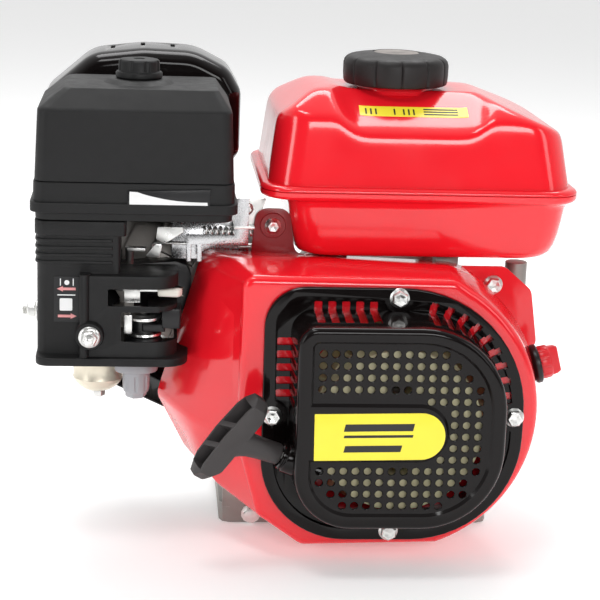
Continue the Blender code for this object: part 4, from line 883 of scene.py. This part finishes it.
def make_tank():
    x0, x1, y0, y1 = TANK.values()
    lip = rounded([(x0, y0, 22), (x1, y0, 22), (x1, y1, 22), (x0, y1, 22)], 12)
    aim = rounded([(x0 + 6, y0 + 6, 22), (x1 - 6, y0 + 6, 22), (x1 - 6, y1 - 6, 22), (x0 + 6, y1 - 6, 22)],
                  14)
    fine = []
    for a, b in zip(aim, aim[1:] + aim[:1]):
        parts = max(1, round(math.dist(a, b) / 3.0))
        fine += [(a[0] + (b[0] - a[0]) * k / parts, a[1] + (b[1] - a[1]) * k / parts) for k in range(parts)]
    middle = ((x0 + x1) / 2 - 2, 0)
    dome = star_solid(tank_upper_depth, (*middle, 254.6), dome_rows(fine, 254.6, 310, 22, 46, middle))
    seam_rings = [(252.05, 1.2), (252.2, 0.1), (252.6, 0), (253.6, 0.3), (254.8, 1.3), (255.6, 3.2)]
    flange = loft([placed(inset(lip, depth), "Z", z) for z, depth in seam_rings])
    neck = turned([(0, 0), (29, 0), (27.6, 2.2), (27.2, 6.5), (26.4, 7.4), (0, 7.4)], (6, -8, 313.5), UP,
                  64)
    way = turned([(0, -80), (24.2, -80), (24.2, 20), (0, 20)], (6, -8, 313.5), UP, 64)
    upper = cut(join(dome, flange, neck), way)
    piece("tank_top", upper, "red", stands_for=("fuel_tank_upper",), sharp=40)

    pan = [(204.2, 33, 22, 20, 20), (204.6, 31.0, 19.6, 18, 18), (206.0, 28.4, 16.6, 15.2, 15.2),
           (209.0, 26.2, 13.8, 13, 13), (214, 24.8, 11.6, 11.4, 11.4), (222, 23.2, 9.6, 9.8, 9.8),
           (232, 21.2, 8.0, 8.4, 8.4), (240, 20.0, 7.0, 7.2, 7.2), (243.8, 18.8, 6.0, 6.4, 6.4),
           (245.2, 14.6, 4.2, 4.6, 4.6), (246.0, 7.0, 2.6, 3.0, 3.0), (246.7, 2.2, 1.2, 1.4, 1.4),
           (247.8, 0.5, 0.4, 0.4, 0.4), (249.4, 0, 0, 0, 0), (251.5, 0.1, 0.1, 0.1, 0.1),
           (251.85, 1.0, 1.0, 1.0, 1.0)]
    rings = []
    for z, left, right, front, back in pan:
        corner = 20 if z < 246.5 else 22
        rings.append(placed(rounded([(x0 + left, y0 + front, corner), (x1 - right, y0 + front, corner),
                                     (x1 - right, y1 - back, corner), (x0 + left, y1 - back, corner)], 12),
                                     "Z", z))
    lower = loft(rings)
    piece("tank_pan", lower, "red", stands_for=("fuel_tank_lower",), sharp=50)
    make_tank_sticker()


def make_tank_sticker():
    """A plain yellow film that lies on the valley in front of the filler, marked with simple bars."""
    def lift(x, y):
        low, high = 280.0, 330.0
        for _ in range(24):
            middle = (low + high) / 2
            if tank_upper_depth(np.array(x), np.array(y), np.array(middle)) < 0:
                low = middle
            else:
                high = middle
        return low

    def film(x0, x1, y0, y1, thickness, columns, skew=0.0):
        bm = bmesh.new()
        rows = 6
        layers = []
        for extra in (-0.4, thickness):
            grid = []
            for r in range(rows + 1):
                y = y0 + (y1 - y0) * r / rows
                grid.append([bm.verts.new((x, y, lift(x, y) + extra)) for x in (
                    x0 + (x1 - x0) * c / columns + skew * (y - y0) for c in range(columns + 1))])
            layers.append(grid)
        for grid in layers:
            for r in range(rows):
                for c in range(columns):
                    bm.faces.new((grid[r][c], grid[r][c + 1], grid[r + 1][c + 1], grid[r + 1][c]))
        border = [(0, c) for c in range(columns)] + [(r, columns) for r in range(rows)] + [
            (rows, c) for c in range(columns, 0, -1)] + [(r, 0) for r in range(rows, 0, -1)]
        for (r, c), (s, d) in zip(border, border[1:] + border[:1]):
            bm.faces.new((layers[0][r][c], layers[0][s][d], layers[1][s][d], layers[1][r][c]))
        return mesh_object(bm)

    piece("tank_film", film(-24, 52, -55.5, -46, 0.25, 40), "yellow", sharp=50)
    bars = [film(x, x + 1.1, -54, -48.5, 0.4, 1) for x in (-20, -16.5, -13, 0, 6.5, 10, 13.5)]
    bars += [film(21, 45, y, y + 1.1, 0.4, 12) for y in (-53.8, -51.3, -48.9)]
    piece("tank_film_marks", gather(*bars), "ink", sharp=50)


def make_cap():
    """The lobed filler cap, hollowed for its plug, and a shallow worn disc on top."""
    centre = Vector((6, -8, 0))

    def lobed(radius, depth):
        points = []
        for k in range(240):
            angle = math.tau * k / 240
            wave = abs(math.sin(angle * 6)) ** 0.22
            points.append(((radius - depth + depth * wave) * math.cos(angle),
                           (radius - depth + depth * wave) * math.sin(angle)))
        return points

    rings = [(319.0, 35.6, 0.4), (319.6, 36.6, 0.9), (321, 37.2, 1.2), (326, 37.6, 1.4), (333, 37.6, 1.5),
             (335.6, 36.9, 1.5), (337.4, 35.3, 1.3), (338.6, 33.0, 0.9), (339.4, 29, 0.3),
             (340.6, 20.5, 0.0), (341.2, 17, 0.0), (340.6, 16.4, 0), (340.9, 12, 0), (341.3, 4, 0)]
    made = loft([[centre + Vector((u, v, z)) for u, v in lobed(radius, depth)]
                 for z, radius, depth in rings])
    well = turned([(0, -2), (28.6, -2), (28.6, 7.5), (0, 7.5)], centre + UP * 318.0, UP, 64)
    piece("filler_cap", cut(made, well), "cap", "cap", stands_for=("fuel_cap",), sharp=34)
    disc = turned([(0, 0.1), (15.6, 0.1), (15.9, 0.4), (15.2, 0.8), (10, 1.0), (0, 1.05)],
                  centre + UP * 340.4, UP, 64)
    piece("filler_cap_disc", disc, "worn", "cap")


# ------------------------------------------------------------------ air cleaner
CLEANER = {"x0": -246.0, "x1": -110.0, "y0": -95.0, "y1": 10.0}
STUD = (-176.0, -42.0)


def cleaner_ring(z, depth, corner=9.0):
    """A level ring of the air cleaner box, drawn in by depth."""
    x0, x1, y0, y1 = CLEANER.values()
    radius = max(1.5, corner - depth * 0.3)
    return placed(rounded([(x0 + depth, y0 + depth * 1.02, radius), (x1 - depth, y0 + depth * 1.02, radius),
                           (x1 - depth, y1 - depth, radius), (x0 + depth, y1 - depth, radius)], 8), "Z", z)


def make_cleaner_cover():
    x0, x1, y0, y1 = CLEANER.values()

    def roof_ring(z, share):
        """A ring of the chamfered roof, from the wall (0) to the flat top (1)."""
        left, right = x0 + 3.4 + 17 * share, x1 - 3.4 - 9 * share
        front, back = y0 + 3.4 + 13 * share, y1 - 3.4 - 12 * share
        corner = 8 - 3 * share
        return placed(rounded([(left, front, corner), (right, front, corner), (right, back, corner),
                               (left, back, corner)], 8),
                      "Z", z)

    rings = [cleaner_ring(258.7, 1.6), cleaner_ring(259.0, 1.2), cleaner_ring(300, 2.9),
             cleaner_ring(305.8, 3.2), roof_ring(307.0, 0.04), roof_ring(308.0, 0.12),
             roof_ring(318.6, 0.93), roof_ring(319.4, 1.0), roof_ring(319.8, 1.12)]
    cover = loft(rings)
    cone = turned([(0, -5), (30, -5), (29, -1), (21.0, 4.8), (20.0, 5.2), (0, 5.2)], (*STUD, 317.4), UP, 72)
    way = turned([(0, -40), (3.6, -40), (3.6, 20), (0, 20)], (*STUD, 319.6), UP, 24)
    hollow = loft([cleaner_ring(250, 4.2), cleaner_ring(303, 5.8), cleaner_ring(315, 22)])
    join(cover, cone)
    cut(cover, hollow, way)
    piece("cleaner_lid", bevel(cover, 0.35, 2, 30), "plastic", "cleaner_lid",
          stands_for=("air_cleaner_cover",), sharp=24)
    base = Vector((*STUD, 322.8))
    knob = turned([(0, 0.2), (15.4, 0.2), (16.0, 0.8), (16.0, 3.6), (15.4, 4.4), (14.2, 4.6), (13.9, 11.6),
                   (13.0, 12.6), (4.2, 13.0), (3.8, 12.3), (0, 12.3)], base, UP, 72)
    flutes = [rod(base + Vector((15.9 * math.cos(a), 15.9 * math.sin(a), 5.2)),
                  base + Vector((15.9 * math.cos(a), 15.9 * math.sin(a), 14.0)), 3.0, 12) for a in
              (math.tau * (k + 0.5) / 8 for k in range(8))]
    cut(knob, gather(*flutes))
    piece("cleaner_knob", bevel(knob, 0.25, 2, 40), "plastic", "cleaner_knob",
          stands_for=("air_cleaner_knob",))


def make_cleaner_case():
    rings = [cleaner_ring(232.4, 2.6), cleaner_ring(232.9, 1.9), cleaner_ring(237.6, 1.6),
             cleaner_ring(237.9, 1.4), cleaner_ring(238.0, -1.3), cleaner_ring(238.4, -1.7),
             cleaner_ring(244.4, -1.7), cleaner_ring(244.8, -1.3), cleaner_ring(245.0, 0.3),
             cleaner_ring(257.6, 0.5), cleaner_ring(258.2, 0.8), cleaner_ring(258.4, 1.3)]
    case = loft(rings)
    hollow = loft([cleaner_ring(235.4, 6), cleaner_ring(262, 5)])
    way = prism(rounded([(-236, -85, 6), (-196, -85, 6), (-196, -34, 6), (-236, -34, 6)], 4), "Z", 225, 240)
    cut(case, hollow, way)
    piece("cleaner_tray", case, "plastic", stands_for=("air_cleaner_case",), sharp=24)
    make_cleaner_sign()


def make_cleaner_sign():
    """The lever sign on the front of the box: a black plate with a plain silver wedge."""
    y = CLEANER["y0"] + 0.5
    plate = prism([(-182.5, 243.2), (-127.6, 240.6), (-127.2, 255.4), (-182.1, 253.6)], "Y", y - 1.6,
                  y + 1.5)
    piece("speed_plate", bevel(plate, 0.25, 2), "smooth")
    curve = [(-176 + 46.8 * t, 253.2 - 6.4 * t ** 0.8 - 1.6 * math.sin(math.pi * t))
             for t in (k / 14 for k in range(15))]
    wedge = prism([(-181.2, 243.6), (-128.4, 241.6)] + curve[::-1] + [(-181.2, 253.4)], "Y", y - 1.85,
                  y - 1.2)
    piece("speed_wedge", wedge, "silver")


def make_cleaner_base():
    """The elbow below the box: ribbed duct, rounded lever housing with two windows, sole and nut boss."""
    front = -92.0
    duct = prism(rounded([(-243, front, 7), (-187, front, 2.5), (-187, -26, 6), (-243, -26, 8)], 6), "Z",
                 136, 226)
    flange = prism(rounded([(-244.6, front - 1.6, 8), (-183, front - 1.6, 3), (-183, -24, 7),
                            (-244.6, -24, 8)], 6),
                   "Z", 222, 232)
    bevel(flange, 0.8, 2)
    housing_plan = rounded([(-214, -99.5, 1), (-147.5, -99.5, 17), (-147.5, -60.4, 4), (-214, -60.4, 1)], 8)
    housing = prism(housing_plan, "Z", 138, 196)
    bevel(housing, 1.0, 2, 50)
    panel = prism(rounded([(-214, -103, 2), (-208.5, -103, 4), (-205.5, -94, 2), (-214, -90, 1)], 4), "Z",
                  139, 197)
    sole_plan = rounded([(-243.6, -104.5, 9), (-141, -104.5, 16), (-139.5, -60.4, 4), (-243.6, -60.4, 6)],
                        8)
    sole = bevel(prism(sole_plan, "Z", 133.9, 139.6), 1.0, 3)
    base = join(duct, flange, housing, panel, sole)
    boss = turned([(0, 0), (10.6, 0), (9.8, 22), (8.9, 24.2), (0, 24.2)], (-207, -81, 155), -AXIS_Y, 40)
    join(base, boss)
    ribs = []
    for k in range(4):
        z = 203.6 + 5.0 * k
        reach = 1.3
        plan = rounded([(-243 - reach, front - reach, 8), (-192, front - reach, 1), (-192, -40, 5),
                        (-243 - reach, -40, 8)], 6)
        ribs.append(bevel(prism(plan, "Z", z - 1.1, z + 1.1), 0.7, 2))
    join(base, *ribs)
    bore = prism(rounded([(-236, -85, 6), (-196, -85, 6), (-196, -34, 6), (-236, -34, 6)], 4), "Z", 196,
                 240)
    void = prism(rounded([(-205, -97.4, 1), (-149.6, -97.4, 15.2), (-149.6, -50, 3), (-205, -50, 1)], 8),
                 "Z", 142.5, 193.5)
    behind = prism(rounded([(-237, -86, 5), (-190, -86, 3), (-190, -50, 5), (-237, -50, 5)], 4), "Z", 141,
                   193)
    choke_window = prism(rounded([(-195, 175, 1.2), (-130, 175, 1.2), (-130, 187, 1.2), (-195, 187, 1.2)],
                                 3), "Y", -110, -70)
    fuel_window = prism(rounded([(-186, 150, 2.2), (-130, 150, 1.2), (-130, 171, 1.2), (-186, 171, 1.6)],
                                3), "Y", -110, -70)
    side_window = box(-160, -130, -99, -64, 150, 187)
    cut(base, bore, void, behind, choke_window, fuel_window, side_window)
    band = bevel(prism(rounded([(-168, -99.2, 1), (-148, -99.2, 16), (-148, -66, 2), (-168, -66, 2)], 8),
                       "Z", 171.2, 174.6), 0.6, 2)
    join(base, band)
    piece("intake_elbow", bevel(base, 0.35, 2, 32), "plastic", stands_for=("air_cleaner_base",), sharp=28)
    make_elbow_sign(front)


def make_elbow_sign(front):
    """A blank black plate with two plain arrows and two simple shapes."""
    y = front - 0.1
    plate = prism(rounded([(-231.4, 162, 0.8), (-214, 162, 0.8), (-214, 193.5, 0.8), (-231.4, 193.5, 0.8)],
                          3),
                  "Y", y - 0.5, y + 0.6)
    piece("lever_sign", bevel(plate, 0.15, 1), "smooth")
    arrows = []
    for z, side in ((185.2, -1), (166.2, 1)):
        centre = -222.7
        arrows.append(prism([(centre + side * u, z + v) for u, v in (
            (-6, -0.9), (2.6, -0.9), (2.6, -1.9), (6.6, 0), (2.6, 1.9), (2.6, 0.9), (-6, 0.9))], "Y",
            y - 0.75, y - 0.4))
    piece("lever_sign_arrows", gather(*arrows), "ink_pink")
    marks = [prism(circle((-222.7, 189.6), 1.7, 24), "Y", y - 0.75, y - 0.4),
             box(-229, -217, y - 0.75, y - 0.4, 180.6, 181.3)]
    marks += [box(x - 0.3, x + 0.3, y - 0.75, y - 0.4, 187.4, 192.4) for x in (-227, -218.4)]
    marks.append(prism(rounded([(-227.5, 170, 0.8), (-219, 170, 0.8), (-219, 178.6, 0.8),
                                (-227.5, 178.6, 0.8)], 3),
                       "Y", y - 0.75, y - 0.4))
    piece("lever_sign_marks", gather(*marks), "ink_white")


def stud_nut(name, base, axis, node, length=13.0):
    """A flange nut run onto a stud that stands out past it."""
    outline = hexagon(10.0)
    nut = stack([inset(outline, 0.7), outline, outline, inset(outline, 0.9)], [0.9, 1.6, 6.6, 7.5], base,
                axis, 0.35)
    washer = turned([(0, -2), (6, -2), (7.4, 0), (7.4, 0.9), (5.6, 2.2), (0, 2.2)], base, axis, 40)
    turns = 44
    profile = [(0, -1)] + [(2.9 if k % 2 else 2.5, -1 + (length + 0.4) * k / turns)
                           for k in range(turns + 1)]
    profile += [(1.6, length), (0, length)]
    stud = turned(profile, base, axis, 24)
    piece(name, gather(bevel(nut, 0.14, 2, 40), bevel(washer, 0.12, 2, 40), stud), "zinc",
          stands_for=(node,))


# ------------------------------------------------------------------ carburettor
def make_carburetor():
    bowl = [(0, 31.4), (17.9, 31.4), (18.3, 30.6), (18.3, 28.6), (17.5, 27.6), (17.5, 12.5), (17.8, 12.0),
            (17.5, 11.2), (16.7, 9.2), (13.6, 5.6), (10.2, 3.2), (7.2, 2.4), (0, 2.4)]
    piece("bowl_shell", turned(bowl, (-202.5, -50, 99.8), UP, 96), "bowl", stands_for=("float_bowl",),
          sharp=50)
    outline = hexagon(9.0)
    drain = stack([inset(outline, 0.8), outline, outline], [0, 0.8, 5.0], (-202.5, -50, 96.6), UP, 0.2)
    piece("bowl_drain", bevel(drain, 0.15, 2, 40), "zinc", stands_for=("bowl_drain_bolt",))
    softened("carburetor_body", "cast", width=0.8)
    softened("insulator", "smooth", width=0.6)
    cock = prism(rounded([(-190.5, -84, 10), (-160.5, -84, 12), (-160.5, -56, 12), (-190.5, -56, 8)], 8),
                 "Z", 122.6, 133.4)
    piece("fuel_cock_block", bevel(cock, 1.0, 3), "cup", stands_for=("fuel_cock_body",))
    cup = turned([(0, 18), (9.6, 18), (9.4, 5.5), (8.6, 2.5), (6.2, 0.6), (0, 0.4)], (-175.5, -70, 104.3),
                 UP, 48)
    eight = hexagon(13.4, 1.0)
    foot = stack([inset(eight, 1.2), eight, eight], [0, 1.2, 5], (-175.5, -70, 102.4), UP, 0.5)
    flutes = [rod((-175.5 + 10.3 * math.cos(a), -70 + 10.3 * math.sin(a), 108),
                  (-175.5 + 10.3 * math.cos(a),
              -70 + 10.3 * math.sin(a), 119), 1.6, 12) for a in (math.tau * k / 8 for k in range(8))]
    join(cup, foot)
    cut(cup, gather(*flutes))
    piece("sediment_bowl", bevel(cup, 0.4, 2, 35), "cup", stands_for=("sediment_cup",))


def make_levers():
    """The choke's plate arm with its ivory knob, and the fuel cock's drum, spring plate and handle."""
    _, high = (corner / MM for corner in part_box("choke_lever"))
    top = high.z - 1.4
    arm_plan = rounded([(-193, -84, 4), (-184, -88.6, 3), (-176, -89.2, 1), (-170, -88.4, 2),
                        (-160, -88.6, 0.3), (-160, -85.2, 0.3), (-170, -84.6, 2), (-181, -75.4, 4),
                        (-193, -76, 4)], 4)
    arm = prism(arm_plan, "Z", top - 1.6, top)
    tab = prism([(-184.0, -90.0), (-173.4, -90.0), (-173.4, -88.6), (-184.0, -88.6)], "Z", 175.6, top)
    piece("choke_arm", bevel(join(arm, tab), 0.3, 2), "zinc", "choke", stands_for=("choke_lever",))
    plan = rounded([(-161.5, -90.6, 1.6), (-147, -91.6, 3.6), (-144.2, -86.5, 3.2), (-146, -83.6, 3.2),
                    (-161.5, -84.0, 1.6)], 6)
    knob = loft([placed(inset(plan, 1.2), "Z", top - 4.9), placed(inset(plan, 0.2), "Z", top - 4.2),
                 placed(plan, "Z", top - 3), placed(plan, "Z", top - 0.6),
                 placed(inset(plan, 0.5), "Z", top + 0.5), placed(inset(plan, 1.6), "Z", top + 1.1)])
    piece("choke_knob", knob, "white", "choke", sharp=50)
    pivot = Vector((-170.5, -80, 0))
    handle_plan = rounded([(-158.5, -91.2, 1.2), (-145.4, -91.2, 1.6), (-145.4, -72, 2.5),
                           (-158.5, -72, 2)], 4)
    handle = bevel(prism(handle_plan, "Z", 157.6, 171.4), 0.9, 2, 50)
    reach = prism(rounded([(-172, -90.4, 2), (-156, -90.4, 1), (-156, -73, 1), (-172, -73, 2)], 3), "Z",
                  155.2, 160.2)
    piece("fuel_handle", bevel(join(handle, reach), 0.4, 2, 45), "smooth", "fuel",
          stands_for=("fuel_lever",))
    disc = turned([(0, 162.0), (11.4, 162.0), (12.3, 162.5), (12.5, 163.6), (12.2, 164.3), (11.2, 164.5),
                   (10.4, 164.3), (9.4, 165.0), (8.6, 165.9), (3.2, 166.3), (2.8, 167.6), (0, 167.8)],
                   pivot, UP, 64)
    clip = box(-184.2, -178.6, -91.8, -90.6, 153.6, 166.8)
    clip_foot = box(-184.2, -178.6, -91.8, -86.0, 166.0, 167.0)
    piece("fuel_spring_plate", gather(disc, bevel(clip, 0.4, 2), bevel(clip_foot, 0.4, 2)), "zinc")
    low_ring = turned([(6.6, 150.6), (11.6, 150.6), (12.2, 151.4), (11.8, 152.8), (8.6, 153.2),
                       (6.6, 153.2)], pivot, UP, 64)
    piece("fuel_cock_ring", low_ring, "zinc")
    drum = turned([(0, 140.4), (12.8, 140.4), (12.8, 147.5), (11.4, 149.9), (8.8, 150.3), (8.8, 161.8),
                   (0, 161.8)], pivot, UP, 64)
    piece("fuel_cock_drum", drum, "smooth")


# ------------------------------------------------------------------ controls
def coil(start, end, radius, wire, turns, per_turn=14):
    """A helical spring between two points."""
    start, end = Vector(start), Vector(end)
    run = (end - start).normalized()
    side = run.orthogonal().normalized()
    other = run.cross(side)
    count = turns * per_turn
    points = []
    for k in range(count + 1):
        angle = math.tau * k / per_turn
        points.append(start.lerp(end, k / count)
                      + (side * math.cos(angle) + other * math.sin(angle)) * radius)
    return tube(points, wire, 8)


def make_controls():
    softened("control_plate", "steel", width=0.3)
    lever = cut(softened("throttle_lever", "steel", "throttle", 0.3), box(-160, -80, -80, -30, 243.0, 270))
    piece("throttle_lever_skin", lever, "steel", "throttle")
    softened("governor_arm", "zinc", "governor", 0.3)
    softened("throttle_arm", "zinc", "carburetor_throttle", 0.3)
    low, high = (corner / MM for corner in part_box("governor_rod"))
    z, y = (low.z + high.z) / 2, (low.y + high.y) / 2
    wire = 0.8
    path = [(low.x + wire, y, z - 4), (low.x + wire, y, z - 1.2), (low.x + wire + 1.2, y, z), (-140, y, z),
            (-100, y, z), (high.x - wire - 1.2, y, z), (high.x - wire, y, z - 1.2),
            (high.x - wire, y, z - 4)]
    piece("governor_link_wire", tube(path, wire, 12), "zinc", "governor_link", stands_for=("governor_rod",))
    piece("governor_link_spring", coil((-106, y - 0.2, z - 1.6), (-76, y - 0.2, z - 1.6), 1.3, 0.28, 34,
                                       10), "zinc",
          "governor_link")
    piece("return_spring", coil((-130, -56.8, 219.0), (-95, -56.8, 219.0), 3.0, 0.85, 9), "zinc")
    bracket = prism(rounded([(-109.4, 223.4, 1), (-95.4, 223.4, 1), (-91.6, 229, 2), (-86.4, 243.0, 1.5),
                             (-109.4, 243.0, 1.5)], 4),
                    "Y", -56.4, -54.8)
    foot = prism(rounded([(-109.4, 221.8, 0.8), (-94.6, 221.8, 0.8), (-94.6, 223.6, 0.8),
                          (-109.4, 223.6, 0.8)], 3),
                 "Y", -62.0, -54.8)
    piece("stop_bracket", gather(bevel(bracket, 0.3, 2), bevel(foot, 0.3, 2)), "zinc")
    flange_bolt("stop_bolt_upper", (-100.4, -56.8, 235.4), -AXIS_Y, 7.0, 3.6, 4.6)
    wing = prism(rounded([(-163, 213.0, 1), (-157, 209.6, 1), (-144, 218.0, 1), (-144, 221.6, 1),
                          (-162, 221.6, 1)], 3),
                 "Y", -58.2, -57.0)
    wing_foot = prism(rounded([(-170.6, 200.6, 1), (-160.4, 200.6, 1), (-158.4, 209.6, 1),
                               (-163.4, 210.0, 1)], 3),
                      "Y", -60.4, -59.2)
    piece("shutter_wing", gather(bevel(wing, 0.3, 2), bevel(wing_foot, 0.3, 2)), "zinc")
    hook = [(-43, -59, 205.6), (-55, -59, 205.4), (-58.6, -59, 204.6), (-60.2, -59, 202.4),
            (-58.8, -59, 200.4), (-55.8, -59, 200.2)]
    piece("spring_hook", tube(hook, 0.75, 10), "zinc")


# ------------------------------------------------------------------ exhaust
def make_guard():
    """The heat guard: one deep pressed hood with a broad rolled edge and vents along its top."""
    low, high = (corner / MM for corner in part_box("muffler_guard"))
    x0, x1, y0, y1, z0 = low.x, high.x, low.y, high.y, low.z
    outline = rounded([(x0, z0, 14), (x0, 300, 16), (-211, 330, 28), (-174, high.z, 60),
                       (-136, high.z - 1.2, 40), (-111, 321, 20), (x1, 305, 15), (x1, z0, 14)], 10)
    rings = []
    edge = 15.0
    for k in range(9):
        turn = math.radians(90 * k / 8)
        rings.append(placed(inset(outline, 10.0 * (1 - math.sin(turn))), "Y",
                            y0 + edge * (1 - math.cos(turn))))
    for k in range(9):
        turn = math.radians(90 * k / 8)
        rings.append(placed(inset(outline, 7.0 * (1 - math.cos(turn))), "Y", y1 - 10 + 10 * math.sin(turn)))
    hood = loft(rings)
    inner = loft([placed([(x, z - 6) for x, z in inset(outline, 12)], "Y", y0 + 4), placed(
        [(x, z - 2) for x, z in inset(outline, 2.2)], "Y", y0 + 16),
        placed([(x, z - 2) for x, z in inset(outline, 2.2)], "Y", y1 + 5)])
    cut(hood, inner)
    vents = [prism(rounded([(x - 1.6, y0 + 30, 1.5), (x + 1.6, y0 + 30, 1.5), (x + 1.6, y1 - 18, 1.5),
                            (x - 1.6, y1 - 18, 1.5)], 4),
                   "Z", high.z - 30, high.z + 10) for x in (-196 + 22 * k for k in range(3))]
    cut(hood, gather(*vents))
    piece("exhaust_hood", bevel(hood, 0.3, 2, 45), "black", stands_for=("muffler_guard",), sharp=35)


# ------------------------------------------------------------------ parts carried over from the CAD
def paint_rest():
    """Softened copies of the plain CAD parts, each in its own finish."""
    outside = {
        "cylinder_block": ("cast", 1.0), "crankcase_cover": ("cast", 1.0), "cylinder_head": ("cast", 0.3),
        "rocker_cover": ("cast", 1.2), "lower_shroud": ("black", 0.6), "oil_drain_bolt": ("zinc", 0.4),
        "muffler": ("soot", 1.4), "ignition_coil": ("smooth", 0.5), "spark_plug": ("ceramic", 0.3),
        "air_filter_element": ("foam", 0.8), "air_cleaner_stud": ("zinc", 0.2),
    }
    for node, (look, width) in outside.items():
        softened(node, look, width=width)
    moving = {
        "crankshaft_flywheel_half": ("steel", "crank"), "crankshaft_output_half": ("steel", "crank"),
        "timing_gear": ("steel", "crank"), "flywheel": ("cast", "crank"), "flywheel_nut": ("zinc", "crank"),
        "camshaft": ("iron", "cam"), "piston": ("cast", "piston_set"),
        "piston_pin": ("steel", "piston_set"), "connecting_rod": ("cast", "piston_set"),
        "crank_pin": ("steel", "piston_set"), "fuel_cap_inner": ("smooth", "cap_plug"),
        "oil_dipstick": ("smooth", "dipstick"),
    }
    for node, (look, body) in moving.items():
        softened(node, look, body, 0.3)


def make_bolts():
    for k, (x, z) in enumerate(RECOIL_BOLTS):
        flange_bolt(f"starter_bolt_{k + 1}", (x, FLANGE_FRONT + 1.0, z), -AXIS_Y, flange=7.0,
                    node=f"recoil_bolt_{k + 1}", turn=0.3 + 0.5 * k)
    flange_bolt("shell_bolt_left", (-82, -59.0, 224), -AXIS_Y, 8.0, 5.0, 5.6, "fan_cover_bolt_left")
    flange_bolt("shell_bolt_right", (76, -58.4, 184), -AXIS_Y, 10.0, 5.5, 6.8, "fan_cover_bolt_right")
    stud_nut("elbow_front_nut", (-207, -105.3, 155), -AXIS_Y, "elbow_nut_front", 12.0)
    stud_nut("elbow_side_nut", (-243.6, -66, 163), Vector((-1, 0, 0)), "elbow_screw_side", 11.0)


make_stage()
make_camera()
make_recoil_cover()
make_label()
make_fan_and_reel()
make_grip()
make_fan_cover()
make_switch()
make_tank()
make_cap()
make_cleaner_cover()
make_cleaner_case()
make_cleaner_base()
make_carburetor()
make_levers()
make_controls()
make_guard()
make_bolts()
paint_rest()
